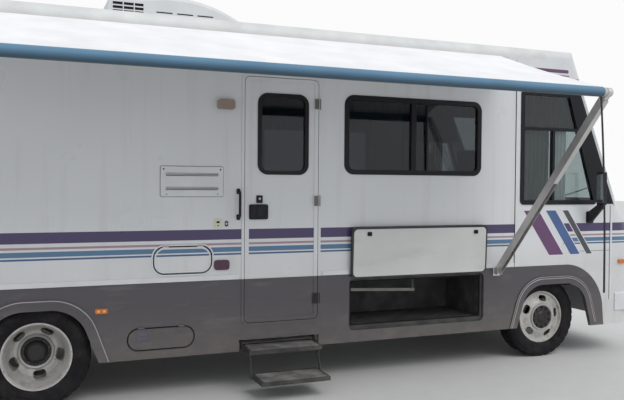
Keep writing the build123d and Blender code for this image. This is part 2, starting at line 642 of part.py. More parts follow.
# Lids: plates hinged along their top edge, in the wall or skirt plane
def lid_plane(side, hinge_z, angle=0):
    """Plane through a lid's hinge line, facing out of the closed lid, opened by an angle."""
    tilt = radians(angle)
    hinge_y = side * (HALF_WIDTH + LID_HINGE_OUT)
    return Plane(origin=(0, hinge_y, hinge_z), x_dir=(1, 0, 0), z_dir=(0, side * cos(tilt), sin(tilt)))


def hatch(side, bounds, radius, thickness, angle=0):
    """Lid that fills an opening with a reveal all round and carries its hinge knuckles."""
    x0, x1, z0, z1 = bounds
    hinge_z = z1 + 4
    plane = lid_plane(side, hinge_z, angle)
    upright = -side                         # local y runs up on the right and down on the left
    with BuildPart() as lid:
        with BuildSketch(plane.offset(-LID_HINGE_OUT - thickness)):
            low, high = sorted((upright * (z0 + REVEAL - hinge_z), upright * (z1 - REVEAL - hinge_z)))
            panel(x0 + REVEAL, x1 - REVEAL, low, high, radius)
        extrude(amount=thickness)
        for x in (x0 + (x1 - x0) * 0.2, x0 + (x1 - x0) * 0.8):
            with BuildSketch(plane.offset(-LID_HINGE_OUT)):
                low, high = sorted((0, -upright * 45))
                block(x - 25, x + 25, low, high)
            extrude(amount=3)
            with BuildSketch(Plane.YZ.offset(x - 25)):
                with Locations((side * (HALF_WIDTH + LID_HINGE_OUT), hinge_z)):
                    Circle(LID_HINGE_OUT - FIT)
            extrude(amount=50)
    return lid


STORAGE = (STORAGE_X0, STORAGE_X1, STORAGE_Z0, STORAGE_Z1)

storage_lid_right = hatch(RIGHT, STORAGE, STORAGE_RADIUS - REVEAL, SKIRT, STORAGE_OPEN)
storage_lid_right.part.label = "storage_lid_right"
export_step(storage_lid_right.part, "parts/storage_lid_right.step")

storage_lid_left = hatch(LEFT, STORAGE, STORAGE_RADIUS - REVEAL, SKIRT)
storage_lid_left.part.label = "storage_lid_left"
export_step(storage_lid_left.part, "parts/storage_lid_left.step")

service_hatch = hatch(RIGHT, SERVICE, SERVICE_RADIUS - REVEAL, 20)
service_hatch.part.label = "service_hatch"
export_step(service_hatch.part, "parts/service_hatch.step")

utility_hatch = hatch(RIGHT, UTILITY, (UTILITY[3] - UTILITY[2]) / 2 - REVEAL - 1, 20)
utility_hatch.part.label = "utility_hatch"
export_step(utility_hatch.part, "parts/utility_hatch.step")


# Compartments behind the lids: open boxes of five sheets each, and a flange round the mouth of the storage ones
MOUTH = (
    STORAGE_X0 + STORAGE_RIM, STORAGE_X1 - STORAGE_RIM, STORAGE_Z0 + STORAGE_SILL, STORAGE_Z1 - STORAGE_RIM,
)
FLANGE_OVERLAP = 10
COMPARTMENTS = (
    # side, bounds, depth, thickness of what stands in front
    (RIGHT, MOUTH, STORAGE_DEPTH, SKIRT + STORAGE_SHEET + FIT),
    (LEFT, MOUTH, STORAGE_DEPTH, SKIRT + STORAGE_SHEET + FIT),
    (RIGHT, SERVICE, HATCH_BOX_DEPTH, WALL),
    (RIGHT, UTILITY, HATCH_BOX_DEPTH, SKIRT),
)

with BuildPart() as compartments:
    for side, (x0, x1, z0, z1), depth, front in COMPARTMENTS:
        with BuildSketch(skin_plane(side, front + FIT + depth)):
            for z in (z0 - STORAGE_SHEET, z1):
                block(x0 - STORAGE_SHEET, x1 + STORAGE_SHEET, z, z + STORAGE_SHEET)
            for x in (x0 - STORAGE_SHEET, x1):
                block(x, x + STORAGE_SHEET, z0 + FIT, z1 - FIT)
        extrude(amount=-side * depth)
        with BuildSketch(skin_plane(side, front + FIT + depth)):
            block(x0 + FIT, x1 - FIT, z0 + FIT, z1 - FIT)
        extrude(amount=-side * STORAGE_SHEET)
    for side in (RIGHT, LEFT):
        with BuildSketch(skin_plane(side, SKIRT + FIT)):
            x0, x1, z0, z1 = MOUTH
            low_x, high_x = STORAGE_X0 - FLANGE_OVERLAP, STORAGE_X1 + FLANGE_OVERLAP
            block(low_x, high_x, STORAGE_Z0 - FLANGE_OVERLAP, z0)
            block(low_x, high_x, z1, STORAGE_Z1 + FLANGE_OVERLAP)
            block(low_x, x0, z0 + FIT, z1 - FIT)
            block(x1, high_x, z0 + FIT, z1 - FIT)
        extrude(amount=side * STORAGE_SHEET)
compartments.part.label = "compartments"
export_step(compartments.part, "parts/compartments.step")


# Chassis: two channel rails, with crossmembers let into them and outriggers seated on them up to the floor
with BuildPart() as chassis_frame:
    for side in (RIGHT, LEFT):
        with BuildSketch(cross_plane(RAIL_X0)):
            y0, y1 = sorted((side * RAIL_Y, side * (RAIL_Y - RAIL_FLANGE)))
            block(y0, y1, RAIL_Z0, RAIL_Z0 + RAIL_HEIGHT)
            y0, y1 = sorted((side * (RAIL_Y - RAIL_WEB), side * (RAIL_Y - RAIL_FLANGE - 10)))
            block(y0, y1, RAIL_Z0 + RAIL_WEB, RAIL_Z0 + RAIL_HEIGHT - RAIL_WEB, Mode.SUBTRACT)
        extrude(amount=RAIL_X1 - RAIL_X0)
    for x in CROSSMEMBERS:
        with BuildSketch(cross_plane(x)):
            reach = RAIL_Y - RAIL_WEB - FIT
            block(-reach, reach, RAIL_Z0 + 40, RAIL_Z0 + RAIL_HEIGHT - 40)
        extrude(amount=CROSSMEMBER)
    for x in OUTRIGGERS:
        for side in (RIGHT, LEFT):
            with BuildSketch(cross_plane(x)):
                with BuildLine():
                    Polyline(
                        (side * (HALF_WIDTH - SKIRT - 10), FLOOR_Z),
                        (side * (RAIL_Y - RAIL_FLANGE), FLOOR_Z),
                        (side * (RAIL_Y - RAIL_FLANGE), RAIL_Z0 + RAIL_HEIGHT + FIT),
                        (side * (RAIL_Y + FIT), RAIL_Z0 + RAIL_HEIGHT + FIT),
                        (side * (RAIL_Y + FIT), RAIL_Z0 + RAIL_HEIGHT - 90),
                        (side * (HALF_WIDTH - SKIRT - 10), FLOOR_Z - 60),
                        close=True,
                    )
                make_face()
            extrude(amount=40)
chassis_frame.part.label = "chassis_frame"
export_step(chassis_frame.part, "parts/chassis_frame.step")

with BuildPart() as engine:
    with BuildSketch(plan_plane(ENGINE_Z0)):
        block(ENGINE_X0, ENGINE_X1, -ENGINE_HALF, ENGINE_HALF)
        fillet(vertices(), 40)
    extrude(amount=ENGINE_Z1 - ENGINE_Z0)
    with BuildSketch(plan_plane(RAIL_Z0 + RAIL_HEIGHT + FIT)):
        for x in ENGINE_FEET:
            block(x, x + ENGINE_FOOT, -RAIL_Y + RAIL_WEB, RAIL_Y - RAIL_WEB)
    extrude(amount=ENGINE_FOOT / 4)
engine.part.label = "engine"
export_step(engine.part, "parts/engine.step")

with BuildPart() as fuel_tank:
    with BuildSketch(cross_plane(TANK_X0)):
        block(-TANK_HALF, TANK_HALF, TANK_Z0, TANK_Z1)
        fillet(vertices(), 60)
    extrude(amount=TANK_X1 - TANK_X0)
    for x in (TANK_X0 + 250, TANK_X1 - 250):
        with BuildSketch(cross_plane(x - 25)):
            block(-RAIL_Y, RAIL_Y, TANK_Z1 - 20, RAIL_Z0)
        extrude(amount=50)
fuel_tank.part.label = "fuel_tank"
export_step(fuel_tank.part, "parts/fuel_tank.step")


# Axles with their leaf springs: the rear one is a housing with a differential, the front one a beam
SPRING_Y, SPRING_WIDTH, SPRING_HALF, SPRING_THICK = 400, 64, 640, 42
KINGPIN_RADIUS = 18
BOSS_RADIUS, BOSS_Z0, BOSS_Z1 = 36, AXLE_Z - 60, AXLE_Z + 60
HOUSING_RADIUS = 62
BEAM_TOP_Z = BOSS_Z0 + 35
FRONT_SPRING_Z = BEAM_TOP_Z + FIT
REAR_SPRING_Z = AXLE_Z + HOUSING_RADIUS + FIT


def leaf_springs(axle_x, seat_z):
    """Pair of arched leaf packs on an axle, hung from the rails by their end shackles."""
    for side in (RIGHT, LEFT):
        y = side * SPRING_Y
        with BuildSketch(Plane.XZ.offset(-y - SPRING_WIDTH / 2)) as leaves:
            with BuildLine():
                ThreePointArc(
                    (axle_x - SPRING_HALF, seat_z + 90), (axle_x, seat_z), (axle_x + SPRING_HALF, seat_z + 90)
                )
                Line((axle_x + SPRING_HALF, seat_z + 90), (axle_x + SPRING_HALF, seat_z + 102))
                ThreePointArc(
                    (axle_x + SPRING_HALF, seat_z + 102), (axle_x, seat_z + SPRING_THICK),
                    (axle_x - SPRING_HALF, seat_z + 102),
                )
                Line((axle_x - SPRING_HALF, seat_z + 102), (axle_x - SPRING_HALF, seat_z + 90))
            make_face()
            for x in (axle_x - SPRING_HALF, axle_x + SPRING_HALF):
                block(x - 22, x + 22, seat_z + 84, RAIL_Z0)
        extrude(leaves.sketch, amount=SPRING_WIDTH)


with BuildPart() as rear_axle:
    with BuildSketch(Plane.XZ.offset(-DUAL_SEAT_Y + 293)):
        with Locations((0, AXLE_Z)):
            Circle(HOUSING_RADIUS)
    extrude(amount=2 * (DUAL_SEAT_Y - 293))
    with BuildSketch(cross_plane(-95)):
        with Locations((0, AXLE_Z)):
            Circle(165)
    extrude(amount=190)
    fillet(rear_axle.edges().filter_by(GeomType.CIRCLE).group_by(SortBy.RADIUS)[-1], 45)
    with BuildSketch(Plane.XZ.offset(-DUAL_SEAT_Y - 47)):
        with Locations((0, AXLE_Z)):
            Circle(SPINDLE_RADIUS)
    extrude(amount=2 * (DUAL_SEAT_Y + 47))
    leaf_springs(0, REAR_SPRING_Z)
rear_axle.part.label = "rear_axle"
export_step(rear_axle.part, "parts/rear_axle.step")

with BuildPart() as front_axle:
    with BuildSketch(cross_plane(WHEELBASE - 38)):
        with BuildLine():
            Polyline(
                (-KINGPIN_Y, BOSS_Z0 + 20), (-560, BOSS_Z0 - 45), (560, BOSS_Z0 - 45), (KINGPIN_Y, BOSS_Z0 + 20),
                (KINGPIN_Y, BOSS_Z1 - 20), (540, BEAM_TOP_Z), (-540, BEAM_TOP_Z), (-KINGPIN_Y, BOSS_Z1 - 20),
                close=True,
            )
        make_face()
    extrude(amount=76)
    with BuildSketch(plan_plane(BOSS_Z0)):
        with Locations((WHEELBASE, KINGPIN_Y), (WHEELBASE, -KINGPIN_Y)):
            Circle(BOSS_RADIUS)
    extrude(amount=BOSS_Z1 - BOSS_Z0)
    leaf_springs(WHEELBASE, FRONT_SPRING_Z)
    with BuildSketch(plan_plane(BOSS_Z0 - 50)):
        with Locations((WHEELBASE, KINGPIN_Y), (WHEELBASE, -KINGPIN_Y)):
            Circle(KINGPIN_RADIUS + RUNNING)
    extrude(amount=BOSS_Z1 - BOSS_Z0 + 100, mode=Mode.SUBTRACT)
front_axle.part.label = "front_axle"
export_step(front_axle.part, "parts/front_axle.step")


# Steering knuckles: kingpin, yoke ears, spindle and steering arm
EAR = 22
EAR_GAP = 1
YOKE_Y = KINGPIN_Y + 45


def knuckle(side):
    with BuildPart() as piece:
        with BuildSketch(plan_plane(BOSS_Z0 - EAR)):
            with Locations((WHEELBASE, side * KINGPIN_Y)):
                Circle(KINGPIN_RADIUS)
        extrude(amount=BOSS_Z1 - BOSS_Z0 + 2 * EAR)
        for z in (BOSS_Z0 - EAR_GAP - EAR, BOSS_Z1 + EAR_GAP):
            with BuildSketch(plan_plane(z)):
                with Locations((WHEELBASE, side * KINGPIN_Y)):
                    Circle(BOSS_RADIUS)
                y0, y1 = sorted((side * KINGPIN_Y, side * (YOKE_Y + 26)))
                block(WHEELBASE - 30, WHEELBASE + 30, y0, y1)
            extrude(amount=EAR)
        with BuildSketch(Plane.XZ.offset(-side * YOKE_Y)):
            panel(WHEELBASE - 70, WHEELBASE + 70, BOSS_Z0 - EAR_GAP - EAR, BOSS_Z1 + EAR_GAP + EAR, 24)
        extrude(amount=-side * 26)
        with BuildSketch(Plane.XZ.offset(-side * YOKE_Y)):
            with Locations((WHEELBASE, AXLE_Z)):
                Circle(SPINDLE_RADIUS)
        extrude(amount=-side * (FRONT_WHEEL_Y + 88 - YOKE_Y))
    return piece


knuckle_right = knuckle(RIGHT)
knuckle_right.part.label = "knuckle_right"
export_step(knuckle_right.part, "parts/knuckle_right.step")

knuckle_left = knuckle(LEFT)
knuckle_left.part.label = "knuckle_left"
export_step(knuckle_left.part, "parts/knuckle_left.step")


# Tyres and disc wheels, turned about their axle; t is the distance outboard of the tyre's centre
def axle_axis(x):
    return Axis((x, 0, AXLE_Z), (0, 1, 0))


def wheel_plane(x):
    """Half-plane through an axle: local x is Y and local y is the radius."""
    return Plane(origin=(x, 0, AXLE_Z), x_dir=(0, 1, 0), z_dir=(1, 0, 0))


def turned(x, centre, side, *points):
    """Solid of revolution about an axle from a profile of (t, radius)."""
    with BuildSketch(wheel_plane(x)) as profile:
        with BuildLine():
            Polyline(*[(side * (centre + t), radius) for t, radius in points], close=True)
        make_face()
    revolve(profile.sketch, axis=axle_axis(x))


def tyre(x, side, *centres):
    with BuildPart() as piece:
        for centre in centres:
            bead, half = RIM_HALF - 9, TYRE_WIDTH / 2
            right = [(bead, RIM_SEAT + FIT), (bead, RIM_FLANGE + 2), (half - 4, TYRE_RADIUS - 93)]
            right += [(half, TYRE_RADIUS - 70), (half - 14, TYRE_RADIUS - 20)]
            crown = [(half - 30, TYRE_RADIUS)]
            profile = right + crown
            turned(x, centre, side, *profile, *[(-t, radius) for t, radius in reversed(profile)])
    return piece


# Disc wheel profiles: the rear disc is dished inboard so that two mount back to back
RIM_DROP = RIM_SEAT - 10    # inner radius of the rim's barrel
SPINDLE_BORE = SPINDLE_RADIUS + RUNNING
REAR_RIM = (
    (RIM_HALF, RIM_FLANGE), (RIM_HALF - 8, RIM_FLANGE), (RIM_HALF - 9, RIM_SEAT), (9 - RIM_HALF, RIM_SEAT),
    (8 - RIM_HALF, RIM_FLANGE), (-RIM_HALF, RIM_FLANGE), (-RIM_HALF, RIM_DROP), (-104, 206), (-DISH, 168),
    (-DISH, 110), (10 - DISH, 110), (10 - DISH, 165), (-92, 190), (38, 229), (RIM_HALF - 14, 240),
    (RIM_HALF, RIM_FLANGE - 12),
)
FRONT_RIM = (
    (RIM_HALF, RIM_FLANGE), (RIM_HALF - 8, RIM_FLANGE), (RIM_HALF - 9, RIM_SEAT), (9 - RIM_HALF, RIM_SEAT),
    (8 - RIM_HALF, RIM_FLANGE), (-RIM_HALF, RIM_FLANGE), (-RIM_HALF, RIM_DROP + 2), (50, RIM_DROP), (60, 205),
    (88, 150), (88, HUB_RADIUS), (98, HUB_RADIUS), (98, 156), (70, 214), (66, RIM_DROP),
    (RIM_HALF, RIM_FLANGE - 12),
)
REAR_HUB = (
    (-233, SPINDLE_BORE), (52, SPINDLE_BORE), (52, 0), (62, 0), (62, 60), (46, 76), (16, 88), (16, 113), (20, 118),
    (26, 130), (20, 138), (10.5, 142), (-10.5, 142), (-33, 170), (-173, 190), (-233, 190),
)
FRONT_HUB = (
    (-70, SPINDLE_BORE), (92, SPINDLE_BORE), (92, 0), (116, 0), (116, 46), (106, 60), (106, 116), (112, 120),
    (112, 132), (98.5, 138), (90, 138), (87, 100), (80, 70), (-20, 70), (-30, 150), (-70, 150),
)
HAND_HOLES = 5
REAR_HOLES = (182, 101, 63, 62.4)               # pitch radius, length, width, angle of the first from +X
FRONT_HOLES = (190, 95, 60, 10)


def hand_holes(x, radius, length, width, start):
    """Oval holes through a wheel disc."""
    with BuildSketch(Plane.XZ.offset(-2 * HALF_WIDTH)) as holes:
        with Locations((x, AXLE_Z)):
            with PolarLocations(radius, HAND_HOLES, start_angle=start):
                SlotOverall(length, width, rotation=90)
    extrude(holes.sketch, amount=4 * HALF_WIDTH, mode=Mode.SUBTRACT)


def rear_rims(side):
    with BuildPart() as piece:
        turned(0, DUAL_OUTER_Y, side, *REAR_RIM)
        turned(0, DUAL_INNER_Y, side, *[(-t, radius) for t, radius in REAR_RIM])
        hand_holes(0, *REAR_HOLES)
        turned(0, DUAL_SEAT_Y, side, *REAR_HUB)
    return piece


def front_rim(side):
    with BuildPart() as piece:
        turned(WHEELBASE, FRONT_WHEEL_Y, side, *FRONT_RIM)
        hand_holes(WHEELBASE, *FRONT_HOLES)
        turned(WHEELBASE, FRONT_WHEEL_Y, side, *FRONT_HUB)
    return piece


tyres_rear_right = tyre(0, RIGHT, DUAL_OUTER_Y, DUAL_INNER_Y)
tyres_rear_right.part.label = "tyres_rear_right"
export_step(tyres_rear_right.part, "parts/tyres_rear_right.step")

tyres_rear_left = tyre(0, LEFT, DUAL_OUTER_Y, DUAL_INNER_Y)
tyres_rear_left.part.label = "tyres_rear_left"
export_step(tyres_rear_left.part, "parts/tyres_rear_left.step")

tyre_front_right = tyre(WHEELBASE, RIGHT, FRONT_WHEEL_Y)
tyre_front_right.part.label = "tyre_front_right"
export_step(tyre_front_right.part, "parts/tyre_front_right.step")

tyre_front_left = tyre(WHEELBASE, LEFT, FRONT_WHEEL_Y)
tyre_front_left.part.label = "tyre_front_left"
export_step(tyre_front_left.part, "parts/tyre_front_left.step")

rims_rear_right = rear_rims(RIGHT)
rims_rear_right.part.label = "rims_rear_right"
export_step(rims_rear_right.part, "parts/rims_rear_right.step")

rims_rear_left = rear_rims(LEFT)
rims_rear_left.part.label = "rims_rear_left"
export_step(rims_rear_left.part, "parts/rims_rear_left.step")

rim_front_right = front_rim(RIGHT)
rim_front_right.part.label = "rim_front_right"
export_step(rim_front_right.part, "parts/rim_front_right.step")

rim_front_left = front_rim(LEFT)
rim_front_left.part.label = "rim_front_left"
export_step(rim_front_left.part, "parts/rim_front_left.step")


# Bumpers: the front one follows the nose, the rear one carries the hitch receiver
BUMPER_Z0, BUMPER_Z1, BUMPER_OUT, BUMPER_SHEET = 420, 640, 75, 8
REAR_BUMPER_OUT, REAR_BUMPER_HEIGHT, REAR_BUMPER_HALF = 150, 130, 1130
HITCH_OUTER, HITCH_BORE, HITCH_PIN, HITCH_LENGTH = 64, 51, 8, 260
HITCH_Z = 470


with BuildPart() as front_bumper:
    with BuildSketch(plan_plane(BUMPER_Z0)) as bar:
        block(NOSE_X - 340, NOSE_X + BUMPER_OUT, -HALF_WIDTH - 10, HALF_WIDTH + 10)
        fillet(bar.vertices().group_by(Axis.X)[-1], CAP_CORNER + 40)
    extrude(amount=BUMPER_Z1 - BUMPER_Z0)
    chamfer(front_bumper.faces().filter_by(Axis.X).sort_by(Axis.X)[-1].edges().filter_by(Axis.Y), 24)
    with BuildSketch(plan_plane(BUMPER_Z0)) as core:
        block(NOSE_X - 400, NOSE_X + FIT, -HALF_WIDTH - FIT, HALF_WIDTH + FIT)
        fillet(core.vertices().group_by(Axis.X)[-1], CAP_CORNER)
    extrude(amount=BUMPER_Z1 - BUMPER_Z0, mode=Mode.SUBTRACT)
front_bumper.part.label = "front_bumper"
export_step(front_bumper.part, "parts/front_bumper.step")

with BuildPart() as rear_bumper:
    with BuildSketch(cross_plane(REAR_X - REAR_BUMPER_OUT)):
        with Locations((0, HITCH_Z + HITCH_OUTER / 2 + REAR_BUMPER_HEIGHT / 2)):
            Rectangle(2 * REAR_BUMPER_HALF, REAR_BUMPER_HEIGHT)
    extrude(amount=110)
    fillet(rear_bumper.edges().filter_by(Axis.Z).group_by(Axis.X)[0], 45)
    for side in (RIGHT, LEFT):
        with BuildSketch(cross_plane(REAR_X - REAR_BUMPER_OUT + 60)):
            with Locations((side * (RAIL_Y - RAIL_WEB - 35), RAIL_Z0 + 30)):
                Rectangle(60, 54)
        extrude(amount=RAIL_X0 - REAR_X + REAR_BUMPER_OUT - 60)
    with BuildSketch(cross_plane(REAR_X - REAR_BUMPER_OUT - 40)):
        with Locations((0, HITCH_Z)):
            Rectangle(HITCH_OUTER, HITCH_OUTER)
    extrude(amount=HITCH_LENGTH)
    with BuildSketch(cross_plane(REAR_X - REAR_BUMPER_OUT - 40)):
        with Locations((0, HITCH_Z)):
            Rectangle(HITCH_BORE, HITCH_BORE)
    extrude(amount=HITCH_LENGTH - 20, mode=Mode.SUBTRACT)
    with BuildSketch(Plane.XZ.offset(-100)):
        with Locations((REAR_X - REAR_BUMPER_OUT, HITCH_Z)):
            Circle(HITCH_PIN)
    extrude(amount=200, mode=Mode.SUBTRACT)
rear_bumper.part.label = "rear_bumper"
export_step(rear_bumper.part, "parts/rear_bumper.step")


# Roof equipment: air conditioner and vents, seated on the crown
AIR_X0, AIR_X1, AIR_HALF, AIR_TOP_Z = 600, 1850, 370, 3440
ROOF_VENTS = (-1900, 2700)

with BuildPart() as air_conditioner:
    with BuildSketch(Plane.XZ) as side_view:
        with BuildLine():
            Polyline((AIR_X0, ROOF_CROWN_Z - 5), (AIR_X0 + 30, AIR_TOP_Z - 30), (AIR_X0 + 420, AIR_TOP_Z))
            ThreePointArc(
                (AIR_X0 + 420, AIR_TOP_Z), (AIR_X1 - 260, AIR_TOP_Z - 40), (AIR_X1, ROOF_CROWN_Z + 130)
            )
            Polyline(
                (AIR_X1, ROOF_CROWN_Z + 130), (AIR_X1 - 60, ROOF_CROWN_Z + 60), (AIR_X1 - 330, ROOF_CROWN_Z + 45),
                (AIR_X1 - 360, ROOF_CROWN_Z - 5), (AIR_X0, ROOF_CROWN_Z - 5),
            )
        make_face()
    extrude(amount=AIR_HALF, both=True)
    fillet(air_conditioner.faces().sort_by(Axis.Z)[-3:].edges().filter_by(GeomType.LINE, reverse=True), 40)
    add(outer_form, mode=Mode.SUBTRACT)
air_conditioner.part.label = "air_conditioner"
export_step(air_conditioner.part, "parts/air_conditioner.step")

with BuildPart() as roof_vents:
    for x in ROOF_VENTS:
        with BuildSketch(plan_plane(ROOF_CROWN_Z - 6)):
            with Locations((x, 0)):
                RectangleRounded(400, 400, 40)
        extrude(amount=40)
        with BuildSketch(plan_plane(ROOF_CROWN_Z + 34)):
            with Locations((x, 0)):
                RectangleRounded(440, 440, 50)
        extrude(amount=60, taper=25)
    add(outer_form, mode=Mode.SUBTRACT)
roof_vents.part.label = "roof_vents"
export_step(roof_vents.part, "parts/roof_vents.step")


# Awning: wall rail, two arms from the wall foot to the roller, the roller and its fabric
AWNING_ARMS = (AWNING_X0 - 60, AWNING_X1 + 62)
RAIL_OUT = 26
FABRIC_TOP_Z = ROLLER_Z + ROLLER_RADIUS
ARM_ANGLE = atan2(ROLLER_Z - ARM_FOOT_Z, ROLLER_Y - ARM_FOOT_Y)
ARM_LENGTH = ((ROLLER_Z - ARM_FOOT_Z) ** 2 + (ROLLER_Y - ARM_FOOT_Y) ** 2) ** 0.5

def arm_plane(x):
    """Plane across an awning arm at its foot, looking up along the arm; x is that of its top."""
    rise = Vector(ARM_LEAN, ARM_FOOT_Y - ROLLER_Y, ROLLER_Z - ARM_FOOT_Z).normalized()
    across = Vector(1, 0, 0) - rise * rise.X
    return Plane(origin=(x - ARM_LEAN, -ARM_FOOT_Y, ARM_FOOT_Z), x_dir=across, z_dir=rise)


with BuildPart() as awning_frame:
    with BuildSketch(cross_plane(AWNING_X0 - 100)):
        block(-HALF_WIDTH - RAIL_OUT, -HALF_WIDTH, EAVE_Z - RAIL_DROP, EAVE_Z)
    extrude(amount=AWNING_X1 - AWNING_X0 + 200)
    chamfer(awning_frame.edges().filter_by(Axis.X).group_by(Axis.Y)[0], 8)
    for x in AWNING_ARMS:
        with BuildSketch(arm_plane(x)):
            Rectangle(ARM_WIDTH, ARM_DEPTH)
        extrude(amount=ARM_LENGTH - ROLLER_RADIUS - 20)
        with BuildSketch(arm_plane(x)):
            with Locations((0, -6)):
                Rectangle(ARM_WIDTH - 6, ARM_DEPTH - 6)
        extrude(amount=ARM_LENGTH * 0.55, mode=Mode.SUBTRACT)
        foot = x - ARM_LEAN
        with BuildSketch(skin_plane(RIGHT, 0)):
            block(foot - 40, foot + 40, ARM_FOOT_Z - 50, ARM_FOOT_Z + 60)
        extrude(amount=4)
        for plate in (foot - ARM_WIDTH / 2 - 7, foot + ARM_WIDTH / 2 + 1):
            with BuildSketch(cross_plane(plate)):
                block(-ARM_FOOT_Y - 20, -HALF_WIDTH, ARM_FOOT_Z - 34, ARM_FOOT_Z + 34)
            extrude(amount=6)
        with BuildSketch(cross_plane(foot - ARM_WIDTH / 2 - 7)):
            with Locations((-ARM_FOOT_Y, ARM_FOOT_Z)):
                Circle(9)
        extrude(amount=ARM_WIDTH + 14)
        with BuildSketch(cross_plane(x - ARM_WIDTH / 2)):
            with Locations((-ROLLER_Y, ROLLER_Z)):
                Circle(ROLLER_RADIUS - 4)
            with BuildLine():
                reach = 130
                dy, dz = cos(ARM_ANGLE), sin(ARM_ANGLE)
                wide = 22
                Polyline(
                    (-ROLLER_Y + wide * dz, ROLLER_Z + wide * dy),
                    (-ROLLER_Y - wide * dz, ROLLER_Z - wide * dy),
                    (-ROLLER_Y + reach * dy - wide * dz, ROLLER_Z - reach * dz - wide * dy),
                    (-ROLLER_Y + reach * dy + wide * dz, ROLLER_Z - reach * dz + wide * dy),
                    close=True,
                )
            make_face()
        extrude(amount=ARM_WIDTH)
awning_frame.part.label = "awning_frame"
export_step(awning_frame.part, "parts/awning_frame.step")

with BuildPart() as awning_roller:
    with BuildSketch(cross_plane(AWNING_X0 + 1)):
        with Locations((-ROLLER_Y, ROLLER_Z)):
            Circle(ROLLER_RADIUS)
    extrude(amount=AWNING_X1 - AWNING_X0 - 2)
    with BuildSketch(cross_plane(AWNING_ARMS[0] + ARM_WIDTH / 2 + FIT)):
        with Locations((-ROLLER_Y, ROLLER_Z)):
            Circle(ROLLER_RADIUS - 8)
    extrude(amount=AWNING_ARMS[1] - AWNING_ARMS[0] - ARM_WIDTH - 2 * FIT)
awning_roller.part.label = "awning_roller"
export_step(awning_roller.part, "parts/awning_roller.step")

with BuildPart() as awning_fabric:
    with BuildSketch(cross_plane(AWNING_X0)):
        with BuildLine():
            Polyline(
                (-HALF_WIDTH - RAIL_OUT - FIT, EAVE_Z - 8),
                (-ROLLER_Y, FABRIC_TOP_Z + FIT),
                (-ROLLER_Y, FABRIC_TOP_Z + FIT + FABRIC),
                (-HALF_WIDTH - RAIL_OUT - FIT, EAVE_Z - 8 + FABRIC),
                close=True,
            )
        make_face()
    extrude(amount=AWNING_X1 - AWNING_X0)
awning_fabric.part.label = "awning_fabric"
export_step(awning_fabric.part, "parts/awning_fabric.step")

# Pull strap: webbing that hangs from the roller in one slow bow and leans forward; the route is (out, up) from its top
STRAP_X = AWNING_X1 - 7
STRAP_TOP_Z = ROLLER_Z - ROLLER_RADIUS - FIT
STRAP_LEAN = radians(2.6)
STRAP_ROUTE = (
    (0, 0), (-8, 2215 - STRAP_TOP_Z), (-12.5, 1960 - STRAP_TOP_Z), (-13.5, 1700 - STRAP_TOP_Z),
    (-10.5, 1430 - STRAP_TOP_Z), (-3, 1165 - STRAP_TOP_Z), (9, STRAP_Z - STRAP_TOP_Z),
)
STRAP_PLANE = Plane(
    origin=(STRAP_X, -ROLLER_Y, STRAP_TOP_Z), x_dir=(0, 1, 0), z_dir=(cos(STRAP_LEAN), 0, sin(STRAP_LEAN))
)


def bend_radii(route):
    """Arc at each inner point of a route, as large as its two runs allow."""
    radii = []
    for start, corner, end in zip(route, route[1:], route[2:]):
        first = Vector(*corner) - Vector(*start)
        second = Vector(*end) - Vector(*corner)
        half_turn = radians(first.get_angle(second) / 2)
        radii.append(0.45 * min(first.length, second.length) / tan(half_turn))
    return radii


with BuildPart() as awning_strap:
    with BuildLine(STRAP_PLANE) as strap_line:
        FilletPolyline(*STRAP_ROUTE, radius=bend_radii(STRAP_ROUTE))
    strap = strap_line.wires()[0]
    with BuildSketch(Plane(origin=strap @ 0, x_dir=STRAP_PLANE.z_dir, z_dir=strap % 0)):
        Rectangle(STRAP_WIDTH, STRAP_THICK)
    sweep(path=strap)
awning_strap.part.label = "awning_strap"
export_step(awning_strap.part, "parts/awning_strap.step")
print("strap radii", [round(radius) for radius in bend_radii(STRAP_ROUTE)])
print("strap length", round(strap.length), "volume by length", round(strap.length * STRAP_WIDTH * STRAP_THICK))


# Entry steps: two treads on folding arms, under the door
STEP_FRAME_TOP = DOOR_Z0 - FIT


def link_outline(start, end, half):
    """Straight link with round ends between two pivots given as distance out and height."""
    with BuildSketch(mode=Mode.PRIVATE) as outline:
        with Locations((-start[0], start[1]), (-end[0], end[1])):
            Circle(half)
        dy, dz = end[0] - start[0], end[1] - start[1]
        with Locations(((-start[0] - end[0]) / 2, (start[1] + end[1]) / 2)):
            Rectangle((dy ** 2 + dz ** 2) ** 0.5, 2 * half, rotation=degrees(atan2(dz, -dy)))
    add(outline.sketch)


def step_pins(pivot, outer_edge, length):
    """Pin at each side of the steps, running inwards from an outer edge."""
    for x in (STEP_X0 + outer_edge, STEP_X1 - outer_edge - length):
        with BuildSketch(cross_plane(x)) as pin:
            with Locations((-pivot[0], pivot[1])):
                Circle(STEP_PIN)
        extrude(pin.sketch, amount=length)


def pin_holes(pivot):
    with BuildSketch(cross_plane(STEP_X0 - 100)) as hole:
        with Locations((-pivot[0], pivot[1])):
            Circle(STEP_PIN + RUNNING)
    extrude(hole.sketch, amount=STEP_X1 - STEP_X0 + 200, mode=Mode.SUBTRACT)


def tread(x_inset, bounds, pivots):
    """Pressed tread plate with a nosing lip and side flanges that take the pivots."""
    back, nosing, top = bounds
    x0, x1 = STEP_X0 + x_inset, STEP_X1 - x_inset
    with BuildPart() as piece:
        with BuildSketch(plan_plane(top - 6)):
            block(x0, x1, -nosing, -back)
        extrude(amount=6)
        with BuildSketch(skin_plane(RIGHT, HALF_WIDTH - nosing + 6)):
            block(x0, x1, top - TREAD_LIP, top)
        extrude(amount=6)
        for x in (x0, x1 - STEP_PLATE):
            with BuildSketch(cross_plane(x)):
                block(-nosing, -back, top - TREAD_LIP, top)
            extrude(amount=STEP_PLATE)
        for pivot in pivots:
            pin_holes(pivot)
    return piece


STEP_LAYER = STEP_PLATE + STEP_GAP

